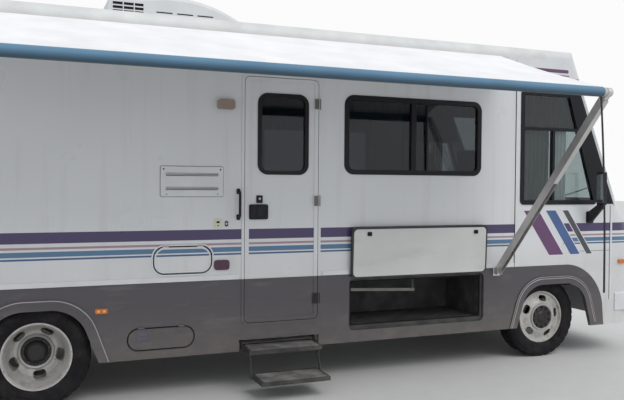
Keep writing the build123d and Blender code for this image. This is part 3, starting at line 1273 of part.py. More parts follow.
with BuildPart() as step_frame:
    with BuildSketch(plan_plane(STEP_FRAME_TOP - 10)):
        block(STEP_X0 - STEP_LAYER, STEP_X1 + STEP_LAYER, -HALF_WIDTH + WALL + 60, -WELL_Y + 30)
    extrude(amount=10)
    for x in (STEP_X0 - STEP_LAYER, STEP_X1 + STEP_GAP):
        with BuildSketch(cross_plane(x)):
            block(-ARM_PIVOT[0] - 40, -ARM_PIVOT[0] + 110, ARM_PIVOT[1] - 22, STEP_FRAME_TOP - 5)
        extrude(amount=STEP_PLATE)
    step_pins(ARM_PIVOT, -STEP_LAYER, STEP_LAYER + STEP_PLATE)
step_frame.part.label = "step_frame"
export_step(step_frame.part, "parts/step_frame.step")

with BuildPart() as step_arms:
    for x in (STEP_X0, STEP_X1 - STEP_PLATE):
        with BuildSketch(cross_plane(x)):
            link_outline(ARM_PIVOT, TREAD_PIVOT, 15)
        extrude(amount=STEP_PLATE)
    pin_holes(ARM_PIVOT)
    step_pins(TREAD_PIVOT, 0, STEP_LAYER + STEP_PLATE)
    with BuildSketch(Plane.YZ.offset(STEP_X0)):
        middle = ((ARM_PIVOT[0] + TREAD_PIVOT[0]) / 2, (ARM_PIVOT[1] + TREAD_PIVOT[1]) / 2)
        with Locations((-middle[0], middle[1])):
            Circle(9)
    extrude(amount=STEP_X1 - STEP_X0)
step_arms.part.label = "step_arms"
export_step(step_arms.part, "parts/step_arms.step")

step_upper_tread = tread(STEP_LAYER, UPPER_TREAD, (TREAD_PIVOT, LINK_PIVOT))
step_upper_tread.part.label = "step_upper_tread"
export_step(step_upper_tread.part, "parts/step_upper_tread.step")

with BuildPart() as step_links:
    for x in (STEP_X0 + 2 * STEP_LAYER, STEP_X1 - 2 * STEP_LAYER - STEP_PLATE):
        with BuildSketch(cross_plane(x)):
            link_outline(LINK_PIVOT, LOWER_PIVOT, 12)
        extrude(amount=STEP_PLATE)
    step_pins(LINK_PIVOT, STEP_LAYER, STEP_LAYER + STEP_PLATE)
    step_pins(LOWER_PIVOT, 2 * STEP_LAYER, STEP_LAYER + STEP_PLATE)
step_links.part.label = "step_links"
export_step(step_links.part, "parts/step_links.step")

step_lower_tread = tread(3 * STEP_LAYER, LOWER_TREAD, (LOWER_PIVOT,))
step_lower_tread.part.label = "step_lower_tread"
export_step(step_lower_tread.part, "parts/step_lower_tread.step")


# Mirrors on bracket arms, one each side
MIRROR_X, MIRROR_Y = NOSE_X - 710, HALF_WIDTH + 185
MIRROR_Z0, MIRROR_Z1 = COWL_Z - 1, COWL_Z + 329
MIRROR_WIDTH, MIRROR_DEPTH = 110, 44
MIRROR_FOOT = (MIRROR_X + 19, MIRROR_Z0 - 130)

with BuildPart() as mirrors:
    for side in (RIGHT, LEFT):
        with BuildSketch(plan_plane(MIRROR_Z0)):
            with Locations((MIRROR_X, side * MIRROR_Y)):
                RectangleRounded(MIRROR_DEPTH, MIRROR_WIDTH, 18)
        extrude(amount=MIRROR_Z1 - MIRROR_Z0)
        with BuildSketch(cross_plane(MIRROR_X - 14)):
            with BuildLine():
                Polyline(
                    (side * HALF_WIDTH, MIRROR_FOOT[1] - 45), (side * HALF_WIDTH, MIRROR_FOOT[1] + 45),
                    (side * (MIRROR_Y - 30), MIRROR_Z0 + 10), (side * (MIRROR_Y + 20), MIRROR_Z0 + 10),
                    (side * (MIRROR_Y + 10), MIRROR_Z0 - 40), (side * (HALF_WIDTH + 60), MIRROR_FOOT[1] - 40),
                    close=True,
                )
            make_face()
        extrude(amount=28)
        with BuildSketch(skin_plane(side, 0)):
            panel(MIRROR_FOOT[0] - 45, MIRROR_FOOT[0] + 45, MIRROR_FOOT[1] - 60, MIRROR_FOOT[1] + 60, 14)
        extrude(amount=-side * 12)
mirrors.part.label = "mirrors"
export_step(mirrors.part, "parts/mirrors.step")


# Grab handle beside the door
HANDLE_X, HANDLE_Z0, HANDLE_Z1, HANDLE_OUT, HANDLE_RADIUS = 1578, 1445, 1701, 52, 11

with BuildPart() as grab_handle:
    with BuildLine(cross_plane(HANDLE_X)) as handle_path:
        FilletPolyline(
            (-HALF_WIDTH - 4, HANDLE_Z0 + 20), (-HALF_WIDTH - HANDLE_OUT, HANDLE_Z0 + 20),
            (-HALF_WIDTH - HANDLE_OUT, HANDLE_Z1 - 20), (-HALF_WIDTH - 4, HANDLE_Z1 - 20), radius=28,
        )
    with BuildSketch(skin_plane(RIGHT, -4)):
        with Locations((HANDLE_X, HANDLE_Z0 + 20)):
            Circle(HANDLE_RADIUS)
    sweep(path=handle_path.line)
    with BuildSketch(skin_plane(RIGHT, 0)):
        for z in (HANDLE_Z0 + 20, HANDLE_Z1 - 20):
            panel(HANDLE_X - 16, HANDLE_X + 16, z - 24, z + 24, 12)
    extrude(amount=6)
grab_handle.part.label = "grab_handle"
export_step(grab_handle.part, "parts/grab_handle.step")


# Refrigerator vent: a framed panel with two rows of louvre slots
VENT_PROUD = 12

with BuildPart() as fridge_vent:
    x0, x1, z0, z1 = VENT
    with BuildSketch(skin_plane(RIGHT, 0)):
        panel(x0, x1, z0, z1, 12)
        for z in (z0 + 53, z1 - 78):
            panel(x0 + 40, x1 - 40, z, z + 26, 8, Mode.SUBTRACT)
    extrude(amount=VENT_PROUD)
    fillet(fridge_vent.faces().sort_by(Axis.Y)[0].outer_wire().edges(), 5)
fridge_vent.part.label = "fridge_vent"
export_step(fridge_vent.part, "parts/fridge_vent.step")


# Lamps
def side_lamp(side, x, z, width, height, depth, inset=0):
    """Rounded lens on the side of the body, seated on its skin."""
    with BuildSketch(skin_plane(side, inset)) as lens:
        panel(x - width / 2, x + width / 2, z - height / 2, z + height / 2, height * 0.3)
    extrude(lens.sketch, amount=-side * (depth + inset))


MARKER = (95, 40, 16)                           # width, height, depth
FRONT_MARKER = (NOSE_X - 254, FLOOR_Z + 11)
ARCH_MARKER = (REAR_ARCH[1] - 21, REAR_ARCH[4] - 27)
CLEARANCE_Z = EAVE_Z - 95
CLEARANCE_YS = (-980, -190, 0, 190, 980)

with BuildPart() as amber_lamps:
    for side in (RIGHT, LEFT):
        side_lamp(side, *FRONT_MARKER, *MARKER, 20)
    for y in CLEARANCE_YS:
        with BuildSketch(cross_plane(screen_x(CLEARANCE_Z) - 60)):
            with Locations((y, CLEARANCE_Z)):
                RectangleRounded(100, 44, 14)
        extrude(amount=84)
    add(outer_form, mode=Mode.SUBTRACT)
    for side in (RIGHT, LEFT):
        side_lamp(side, *ARCH_MARKER, *MARKER)
    x0, x1, z0, z1 = PORCH_LAMP
    side_lamp(RIGHT, (x0 + x1) / 2, (z0 + z1) / 2, x1 - x0, z1 - z0, 44)
amber_lamps.part.label = "amber_lamps"
export_step(amber_lamps.part, "parts/amber_lamps.step")

TAIL_LAMP = (HALF_WIDTH - 205, 1120, 150, 300, 34)          # distance from centre, height, width, tall, depth

with BuildPart() as red_lamps:
    lamp_y, lamp_z, wide, tall, deep = TAIL_LAMP
    with BuildSketch(cross_plane(REAR_X - deep)):
        with Locations((-lamp_y, lamp_z), (lamp_y, lamp_z)):
            RectangleRounded(wide, tall, 20)
    extrude(amount=deep)
    with BuildSketch(cross_plane(REAR_X - MARKER[2])):
        for y in CLEARANCE_YS:
            with Locations((y, EAVE_Z - 60)):
                RectangleRounded(100, 44, 14)
    extrude(amount=MARKER[2])
    for side in (RIGHT, LEFT):
        side_lamp(side, REAR_X + 160, 1010, *MARKER)
    x0, x1, z0, z1 = SIDE_LENS
    side_lamp(RIGHT, (x0 + x1) / 2, (z0 + z1) / 2, x1 - x0, z1 - z0, 14)
red_lamps.part.label = "red_lamps"
export_step(red_lamps.part, "parts/red_lamps.step")

with BuildPart() as headlamps:
    with BuildSketch(cross_plane(NOSE_X - HEADLAMP_DEPTH)):
        for y in HEADLAMP_YS:
            with Locations((y, HEADLAMP_Z)):
                RectangleRounded(HEADLAMP_WIDTH, HEADLAMP_HEIGHT, 12)
    extrude(amount=HEADLAMP_DEPTH - 4)
headlamps.part.label = "headlamps"
export_step(headlamps.part, "parts/headlamps.step")


# Cab: dashboard with the steering column, seats on pedestals, steering wheel
DASH_X, DASH_TOP_Z = NOSE_X - 696, COWL_Z - 56
WHEEL_CENTRE = (DASH_X - 200, SEAT_Y, DASH_TOP_Z + 140)
WHEEL_TILT = 42             # degrees of the column from upright, leaning forward
WHEEL_RADIUS, RIM_THICK = 225, 15
COLUMN_RADIUS = 32
COLUMN_PIN = 12

tilt = radians(WHEEL_TILT)
COLUMN_PLANE = Plane(origin=WHEEL_CENTRE, x_dir=(0, 1, 0), z_dir=(-sin(tilt), 0, cos(tilt)))

with BuildPart() as dashboard:
    with BuildSketch(Plane.XZ):
        with BuildLine():
            Polyline(
                (DASH_X + 60, DASH_TOP_Z - 260), (DASH_X, DASH_TOP_Z - 200), (DASH_X + 50, DASH_TOP_Z),
                (DASH_X + 225, DASH_TOP_Z + 20), (DASH_X + 225, DASH_TOP_Z - 260), close=True,
            )
        make_face()
    extrude(amount=HALF_WIDTH - WALL - FIT, both=True)
    with BuildSketch(COLUMN_PLANE.offset(-440)):
        Circle(COLUMN_RADIUS)
    extrude(amount=410)
    with BuildSketch(COLUMN_PLANE.offset(-440)):
        Circle(COLUMN_PIN)
    extrude(amount=436)
dashboard.part.label = "dashboard"
export_step(dashboard.part, "parts/dashboard.step")

with BuildPart() as steering_wheel:
    with BuildSketch(COLUMN_PLANE * Plane.XZ):
        with Locations((WHEEL_RADIUS, 0)):
            Circle(RIM_THICK)
    revolve(axis=Axis(WHEEL_CENTRE, COLUMN_PLANE.z_dir))
    with BuildSketch(COLUMN_PLANE.offset(-10)):
        with PolarLocations(WHEEL_RADIUS / 2 + 15, 3, start_angle=180):
            Rectangle(WHEEL_RADIUS - 30, 34)
        Circle(55)
    extrude(amount=16)
    with BuildSketch(COLUMN_PLANE.offset(-25)):
        Circle(38)
    extrude(amount=40)
    with BuildSketch(COLUMN_PLANE.offset(-26)):
        Circle(COLUMN_PIN + RUNNING)
    extrude(amount=24, mode=Mode.SUBTRACT)
steering_wheel.part.label = "steering_wheel"
export_step(steering_wheel.part, "parts/steering_wheel.step")

with BuildPart() as cab_seats:
    for side in (RIGHT, LEFT):
        with BuildSketch(Plane.XZ.offset(-side * SEAT_Y - SEAT_WIDTH / 2)):
            with BuildLine():
                Polyline(
                    (SEAT_X - 250, SEAT_Z + FIT), (SEAT_X + 260, SEAT_Z + FIT), (SEAT_X + 270, SEAT_Z + 110),
                    (SEAT_X - 120, SEAT_Z + 110), (SEAT_X - 230, SEAT_Z + 830), (SEAT_X - 330, SEAT_Z + 830),
                    close=True,
                )
            make_face()
            fillet(vertices(), 35)
        extrude(amount=SEAT_WIDTH)
cab_seats.part.label = "cab_seats"
export_step(cab_seats.part, "parts/cab_seats.step")


# Curtains: valances over the side windows, and the drawn-back pair in the cab
CURTAIN = 26

with BuildPart() as curtains:
    for side, x0, x1, z0, z1, _ in WINDOWS:
        with BuildSketch(skin_plane(side, WALL + FIT + CURTAIN)):
            block(x0 - 20, x1 + 20, z1 - 150, z1 + 25)
        extrude(amount=-side * CURTAIN)
    for side in (RIGHT, LEFT):
        with BuildSketch(skin_plane(side, WALL + FIT + CURTAIN)):
            block(CAB_WINDOW[0][0] + 20, CAB_WINDOW[2][0], CAB_BAR_Z + 4, CAB_WINDOW[2][1] + 10)
            block(CAB_DIVIDER_X + 20, CAB_DIVIDER_X + 200, CAB_WINDOW[0][1] + 30, CAB_BAR_Z - 4)
        extrude(amount=-side * CURTAIN)
curtains.part.label = "curtains"
export_step(curtains.part, "parts/curtains.step")


# Ladder on the rear wall
LADDER_YS = (520, 850)
LADDER_Z0, LADDER_Z1, LADDER_OUT, LADDER_TUBE, RUNGS = 1340, EAVE_Z - 40, 110, 13, 6

with BuildPart() as rear_ladder:
    for y in LADDER_YS:
        with BuildLine(Plane.XZ.offset(-y)) as stile:
            FilletPolyline(
                (REAR_X, LADDER_Z0), (REAR_X - LADDER_OUT, LADDER_Z0), (REAR_X - LADDER_OUT, LADDER_Z1),
                (REAR_X, LADDER_Z1), radius=60,
            )
        with BuildSketch(Plane.YZ.offset(REAR_X)):
            with Locations((y, LADDER_Z0)):
                Circle(LADDER_TUBE)
        sweep(path=stile.line)
    pitch = (LADDER_Z1 - LADDER_Z0) / (RUNGS + 1)
    for rung in range(1, RUNGS + 1):
        with BuildSketch(Plane.XZ.offset(-LADDER_YS[1])):
            with Locations((REAR_X - LADDER_OUT, LADDER_Z0 + rung * pitch)):
                Circle(LADDER_TUBE - 2)
        extrude(amount=LADDER_YS[1] - LADDER_YS[0])
rear_ladder.part.label = "rear_ladder"
export_step(rear_ladder.part, "parts/rear_ladder.step")
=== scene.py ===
from math import cos, pi, radians, sin, tan

import bmesh
import bpy
from mathutils import Matrix, Vector


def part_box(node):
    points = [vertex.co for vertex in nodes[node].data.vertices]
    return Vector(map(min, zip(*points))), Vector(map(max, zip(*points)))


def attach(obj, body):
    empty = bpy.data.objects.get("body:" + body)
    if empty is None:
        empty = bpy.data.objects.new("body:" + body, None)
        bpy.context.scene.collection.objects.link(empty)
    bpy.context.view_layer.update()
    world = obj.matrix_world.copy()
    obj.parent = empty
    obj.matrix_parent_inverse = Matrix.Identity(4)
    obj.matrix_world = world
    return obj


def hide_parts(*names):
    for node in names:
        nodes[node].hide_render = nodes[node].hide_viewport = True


# Motorhome with its awning out, dressed over the CAD frame.
# Metres. X runs forward, Y to the vehicle's left, Z up from the ground; the entry side is -Y.

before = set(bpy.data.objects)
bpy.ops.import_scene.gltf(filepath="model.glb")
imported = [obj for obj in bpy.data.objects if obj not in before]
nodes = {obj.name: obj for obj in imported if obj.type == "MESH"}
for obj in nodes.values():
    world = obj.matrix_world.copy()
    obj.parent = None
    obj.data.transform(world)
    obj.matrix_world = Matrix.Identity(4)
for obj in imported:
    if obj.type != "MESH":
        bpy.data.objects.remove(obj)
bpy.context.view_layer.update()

RIGHT, LEFT = -1, 1
BOTH = (RIGHT, LEFT)
SIDES = ((RIGHT, "right"), (LEFT, "left"))

# Places taken from the frame
WALL_LOW, WALL_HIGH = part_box("side_wall_right")
SKIN_Y = -WALL_LOW[1]                   # half width over the side walls
WAIST_Z = WALL_LOW[2]                   # where the white walls meet the dark skirt
EAVE_Z = WALL_HIGH[2]
SEAM_X = WALL_HIGH[0]                   # seam between coach and cab
REAR_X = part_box("rear_wall")[0][0]
SKIRT_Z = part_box("skirt_right")[0][2]
NOSE_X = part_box("front_cap")[1][0]
TYRE_LOW, TYRE_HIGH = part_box("tyre_front_right")
TYRE_RADIUS = (TYRE_HIGH[2] - TYRE_LOW[2]) / 2
FRONT_X = (TYRE_LOW[0] + TYRE_HIGH[0]) / 2
AXLE_Z = TYRE_RADIUS

# Cab front above its cowl
COWL_Z = 1.556
COWL_STEP = 0.246                       # windscreen's foot, back from the nose
CAB_SLOPE = 0.4088                      # how far the windscreen leans back for each metre up
CAB_CORNER = 0.150

# Stripe set on the white walls: bottom, top, colour
INDIGO = (0.060, 0.043, 0.118)
MAUVE = (0.36, 0.24, 0.27)
STEEL_BLUE = (0.085, 0.180, 0.300)
NAVY = (0.050, 0.105, 0.230)
STRIPES = (
    (1.280, 1.365, INDIGO),
    (1.234, 1.252, MAUVE),
    (1.177, 1.217, STEEL_BLUE),
    (1.151, 1.166, NAVY),
)

WHITE = (0.665, 0.675, 0.69)
CHARCOAL = (0.070, 0.063, 0.071)
INTERIOR = (0.30, 0.25, 0.19)
LID_CORNER = 0.040
AWNING_ENDS = (-1.130, 4.185)


# Materials

class Paint:
    """A node material written as short calls; every value that varies comes from object coordinates."""

    def __init__(self, name, colour, roughness=0.5, **settings):
        self.material = bpy.data.materials.new(name)
        self.material.use_nodes = True
        self.tree = self.material.node_tree
        self.shader = self.tree.nodes["Principled BSDF"]
        self.shader.inputs["Base Color"].default_value = (*colour, 1)
        self.shader.inputs["Roughness"].default_value = roughness
        for name, value in settings.items():
            self.shader.inputs[name.replace("_", " ")].default_value = value
        coordinates = self.add("ShaderNodeTexCoord")
        self.place = coordinates.outputs["Object"]
        self.normal = coordinates.outputs["Normal"]
        split = self.add("ShaderNodeSeparateXYZ", {0: self.place})
        self.x, self.y, self.z = split.outputs
        self.colour = colour
        self.height = None

    def add(self, kind, inputs=None, **settings):
        node = self.tree.nodes.new(kind)
        for name, value in settings.items():
            setattr(node, name, value)
        for socket, value in (inputs or {}).items():
            self.put(node.inputs[socket], value)
        return node

    def put(self, socket, value):
        if isinstance(value, bpy.types.NodeSocket):
            self.tree.links.new(value, socket)
        elif isinstance(value, tuple) and len(value) == 3 and socket.type == "RGBA":
            socket.default_value = (*value, 1)
        else:
            socket.default_value = value

    def sum(self, operation, first, second=0.0):
        return self.add("ShaderNodeMath", {0: first, 1: second}, operation=operation).outputs[0]

    def length(self, first, second):
        squares = [self.sum("MULTIPLY", value, value) for value in (first, second)]
        return self.sum("SQRT", self.sum("ADD", *squares))

    def threads(self, axis, width):
        """Rises and falls once in each thread's width."""
        return self.sum("ABSOLUTE", self.sum("SINE", self.sum("MULTIPLY", axis, pi / width)))

    def noise(self, scale, detail=3.0, stretch=(1, 1, 1)):
        """Noise of a given scale per metre, stretched along the axes with small factors."""
        place = self.add("ShaderNodeMapping", {"Vector": self.place, "Scale": stretch}).outputs[0]
        inputs = {"Vector": place, "Scale": scale, "Detail": detail, "Roughness": 0.55}
        return self.add("ShaderNodeTexNoise", inputs).outputs["Fac"]

    def fade(self, value, low, high, out_low=0.0, out_high=1.0):
        """Straight change between two levels of a value, clamped beyond them."""
        inputs = {"Value": value, "From Min": low, "From Max": high, "To Min": out_low, "To Max": out_high}
        return self.add("ShaderNodeMapRange", inputs).outputs[0]

    def band(self, value, low, high, edge=0.0006):
        """One between two levels, with hard edges."""
        rise = self.fade(value, low - edge, low + edge)
        fall = self.fade(value, high - edge, high + edge, 1.0, 0.0)
        return self.sum("MULTIPLY", rise, fall)

    def mix(self, share, first, second):
        return self.add("ShaderNodeMix", {0: share, 6: first, 7: second}, data_type="RGBA").outputs[2]

    def tint(self, share, colour):
        """Lays another colour over what is there."""
        self.colour = self.mix(share, self.colour, colour)

    def patches(self, colour, noise, low, high, amount):
        """Lays another colour over where a noise is high."""
        self.tint(self.fade(noise, low, high, 0.0, amount), colour)

    def scale(self, share):
        self.colour = self.add("ShaderNodeVectorMath", {0: self.colour, 3: share}, operation="SCALE").outputs[0]

    def mottle(self, scale, amount, detail=4.0):
        """Lightens and darkens the colour by a small share, as real surfaces do."""
        self.scale(self.fade(self.noise(scale, detail), 0.3, 0.7, 1 - amount, 1 + amount))

    def rough(self, noise, low, high):
        """Roughness between two levels, by a noise or by a new one of a given scale."""
        if not isinstance(noise, bpy.types.NodeSocket):
            noise = self.noise(noise)
        self.put(self.shader.inputs["Roughness"], self.fade(noise, 0.3, 0.7, low, high))

    def bump(self, height, distance, strength=0.5):
        """Adds a height field to the bump chain."""
        node = self.add("ShaderNodeBump", {"Height": height, "Distance": distance, "Strength": strength})
        if self.height is not None:
            self.tree.links.new(self.height, node.inputs["Normal"])
        self.height = node.outputs[0]

    def done(self):
        if isinstance(self.colour, bpy.types.NodeSocket):
            self.put(self.shader.inputs["Base Color"], self.colour)
        if self.height is not None:
            self.put(self.shader.inputs["Normal"], self.height)
        return self.material


def gelcoat(name, stripes=None, split=True):
    """White fibreglass skin with its stripes, charcoal below the waist, and the coach's lining inside."""
    paint = Paint(name, WHITE, 0.34, Coat_Weight=0.25, Coat_Roughness=0.15)
    paint.mottle(0.7, 0.045, 2.0)
    paint.patches((0.42, 0.40, 0.36), paint.noise(9.0, 4.0, (1, 1, 0.07)), 0.54, 0.78, 0.30)
    dust = paint.sum("MULTIPLY", paint.fade(paint.z, WAIST_Z + 0.25, WAIST_Z, 0.0, 0.45), paint.noise(6.0))
    paint.tint(dust, (0.45, 0.41, 0.36))
    if stripes:
        reach = paint.band(paint.x, *stripes)
        for low, high, colour in STRIPES:
            paint.tint(paint.sum("MULTIPLY", paint.band(paint.z, low, high), reach), colour)
    if split:
        below = paint.fade(paint.z, WAIST_Z + 0.001, WAIST_Z - 0.001)
        paint.tint(below, CHARCOAL)
        scuff = paint.fade(paint.noise(5.0, 6.0, (0.5, 1, 2.5)), 0.55, 0.8, 0.0, 0.4)
        paint.tint(paint.sum("MULTIPLY", scuff, below), (0.19, 0.175, 0.165))
        splash = paint.sum("MULTIPLY", paint.fade(paint.z, 0.75, 0.33, 0.0, 0.65), paint.noise(11.0, 5.0))
        paint.tint(splash, (0.20, 0.175, 0.15))
    inside = paint.fade(paint.sum("ABSOLUTE", paint.y), SKIN_Y - 0.034, SKIN_Y - 0.036)
    behind = paint.fade(paint.x, NOSE_X - 0.9, NOSE_X - 0.95)
    ahead = paint.fade(paint.x, REAR_X + 0.045, REAR_X + 0.048)
    below_roof = paint.fade(paint.z, EAVE_Z - 0.020, EAVE_Z - 0.022)
    lined = paint.sum("MULTIPLY", paint.sum("MULTIPLY", inside, below_roof), paint.sum("MULTIPLY", behind, ahead))
    paint.tint(lined, INTERIOR)
    paint.rough(3.0, 0.26, 0.42)
    paint.bump(paint.noise(1.3, 2.0), 0.004, 0.25)
    paint.bump(paint.noise(160.0, 2.0), 0.0003, 0.3)
    return paint.done()


def plain(name, colour, roughness, mottle=0.12, grain=60.0, bump=0.0004, **settings):
    """A solid colour with slight mottling, uneven gloss and a fine grain."""
    paint = Paint(name, colour, roughness, **settings)
    paint.mottle(5.0, mottle)
    paint.rough(12.0, max(0.05, roughness - 0.08), roughness + 0.1)
    paint.bump(paint.noise(grain, 3.0), bump, 0.5)
    return paint.done()


def dusty(name, colour, roughness, dust=(0.20, 0.175, 0.15), amount=0.5, **settings):
    """A running-gear surface, with road dirt gathered in patches."""
    paint = Paint(name, colour, roughness, **settings)
    paint.mottle(6.0, 0.2)
    paint.patches(dust, paint.noise(7.0, 6.0), 0.42, 0.75, amount)
    paint.rough(9.0, roughness, min(1.0, roughness + 0.25))
    paint.bump(paint.noise(90.0, 4.0), 0.0008, 0.5)
    return paint.done()


def glass(name, colour, roughness=0.02, cab=None):
    """Tinted pane: dark, glossy, and clear enough to show what stands behind it; the cab's may be clearer."""
    paint = Paint(name, colour, roughness, Transmission_Weight=1.0, IOR=1.5, Specular_IOR_Level=0.25)
    if cab:
        paint.tint(paint.fade(paint.x, SEAM_X, SEAM_X + 0.01), cab)
    paint.rough(2.5, roughness, roughness + 0.03)
    return paint.done()


def rubber_black(name):
    paint = Paint(name, (0.011, 0.010, 0.012), 0.7, Specular_IOR_Level=0.18)
    paint.mottle(8.0, 0.25)
    paint.patches((0.046, 0.041, 0.039), paint.noise(14.0, 5.0), 0.45, 0.75, 0.45)
    paint.rough(20.0, 0.6, 0.85)
    paint.bump(paint.noise(220.0, 3.0), 0.0005, 0.5)
    return paint.done()


def woven(name, colour, thread, roughness=0.9, amount=0.25, **settings):
    """Cloth whose warp and weft cross at a thread's width in metres."""
    paint = Paint(name, colour, roughness, **settings)
    paint.mottle(3.0, 0.06)
    weave = paint.sum("MULTIPLY", paint.threads(paint.x, thread), paint.threads(paint.z, thread))
    paint.scale(paint.fade(weave, 0.0, 1.0, 1 - amount, 1.0))
    paint.bump(weave, thread * 0.3, 0.6)
    return paint.done()


def brushed(name, colour, roughness=0.38, stretch=(0.02, 1, 1)):
    paint = Paint(name, colour, roughness, Metallic=0.85)
    paint.mottle(4.0, 0.08)
    grain = paint.noise(300.0, 2.0, stretch)
    paint.rough(grain, roughness - 0.08, roughness + 0.12)
    paint.bump(grain, 0.0002, 0.3)
    return paint.done()


def lid_paint(name):
    """Lid that stands open: charcoal outside, scuffed off-white lining with a dark band round its edge, which is
    its seal and also painted shade along the rim.
    """
    (x0, _, z0), (x1, _, z1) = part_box("storage_lid_right")
    paint = Paint(name, (0.60, 0.61, 0.59), 0.5)
    paint.mottle(2.0, 0.06)
    paint.patches((0.40, 0.39, 0.36), paint.noise(4.0, 6.0, (0.4, 1, 1.5)), 0.52, 0.75, 0.45)
    beyond = []
    for axis, low, high, seal in ((paint.x, x0, x1, 0.016), (paint.z, z0, z1, 0.023)):
        distance = paint.sum("ABSOLUTE", paint.sum("SUBTRACT", axis, (low + high) / 2))
        flat = (high - low) / 2 - seal - LID_CORNER
        beyond.append(paint.sum("MAXIMUM", paint.sum("SUBTRACT", distance, flat), 0.0))
    reach = paint.length(*beyond)
    # near-black band round the lining's edge: the seal, with painted shade along the lid's rim
    paint.tint(paint.fade(reach, LID_CORNER - 0.001, LID_CORNER + 0.001), (0.03, 0.03, 0.032))
    outside = paint.add("ShaderNodeVectorMath", {0: paint.normal, 1: (0, 0.9994, 0.035)}, operation="DOT_PRODUCT")
    paint.tint(paint.fade(outside.outputs["Value"], 0.4, 0.5), CHARCOAL)
    paint.rough(6.0, 0.42, 0.6)
    paint.bump(paint.noise(40.0, 4.0), 0.0006, 0.4)
    return paint.done()


def roller_cloth(name):
    """Blue cloth wound on the roller, darker underneath as painted shade."""
    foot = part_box("awning_roller")[0][2]
    paint = Paint(name, (0.100, 0.220, 0.340), 0.75, Sheen_Weight=0.2)
    paint.mottle(2.0, 0.10, 3.0)
    # painted shade: the cloth darkens towards the roller's underside
    lower = paint.fade(paint.z, foot + 0.052, foot + 0.008)
    paint.tint(paint.sum("MULTIPLY", lower, 0.85), (0.030, 0.060, 0.090))
    rear, front = AWNING_ENDS
    ahead = paint.fade(paint.x, front - 0.001, front + 0.001)
    behind = paint.fade(paint.x, rear + 0.001, rear - 0.001)
    paint.tint(paint.sum("MAXIMUM", ahead, behind), (0.52, 0.51, 0.49))
    paint.bump(paint.threads(paint.x, 0.002), 0.0004, 0.4)
    return paint.done()


def lens(name, colour, corner, other):
    """Moulded lens; one lamp on the entry side, between x0 and x1 and above z0, has its own colour."""
    x0, x1, z0 = corner
    paint = Paint(name, colour, 0.22, Coat_Weight=0.6)
    there = paint.sum("MULTIPLY", paint.band(paint.x, x0, x1), paint.band(paint.z, z0, z0 + 0.25))
    paint.tint(paint.sum("MULTIPLY", there, paint.fade(paint.y, 0.0, -0.1)), other)
    paint.mottle(6.0, 0.1)
    paint.rough(12.0, 0.16, 0.30)
    paint.bump(paint.noise(90.0, 3.0), 0.0006, 0.5)
    return paint.done()


def wheel_paint(name):
    """Silver wheel paint with brown dirt in patches and a trace of rust."""
    paint = Paint(name, (0.50, 0.49, 0.47), 0.42, Metallic=0.25)
    paint.mottle(7.0, 0.12)
    paint.patches((0.21, 0.165, 0.12), paint.noise(16.0, 6.0), 0.50, 0.78, 0.6)
    paint.patches((0.20, 0.085, 0.035), paint.noise(45.0, 5.0), 0.62, 0.72, 0.7)
    ahead = paint.fade(paint.x, FRONT_X / 2, FRONT_X / 2 + 0.01)
    along = paint.sum("SUBTRACT", paint.x, paint.sum("MULTIPLY", ahead, FRONT_X))
    up = paint.sum("SUBTRACT", paint.z, TYRE_RADIUS)
    radius = paint.length(along, up)
    paint.tint(paint.band(radius, 0.118, 0.138, 0.002), (0.42, 0.41, 0.40))
    hub = paint.fade(radius, 0.1165, 0.1155)
    paint.tint(hub, (0.020, 0.018, 0.019))
    paint.put(paint.shader.inputs["Metallic"], paint.fade(hub, 0.0, 1.0, 0.25, 0.0))
    paint.rough(20.0, 0.36, 0.6)
    paint.bump(paint.noise(120.0, 4.0), 0.0005, 0.5)
    return paint.done()


BAR_COLOURS = (
    ("bar_plum", (0.125, 0.050, 0.135)), ("bar_blue", (0.055, 0.110, 0.270)), ("bar_grey", (0.060, 0.065, 0.068)),
)

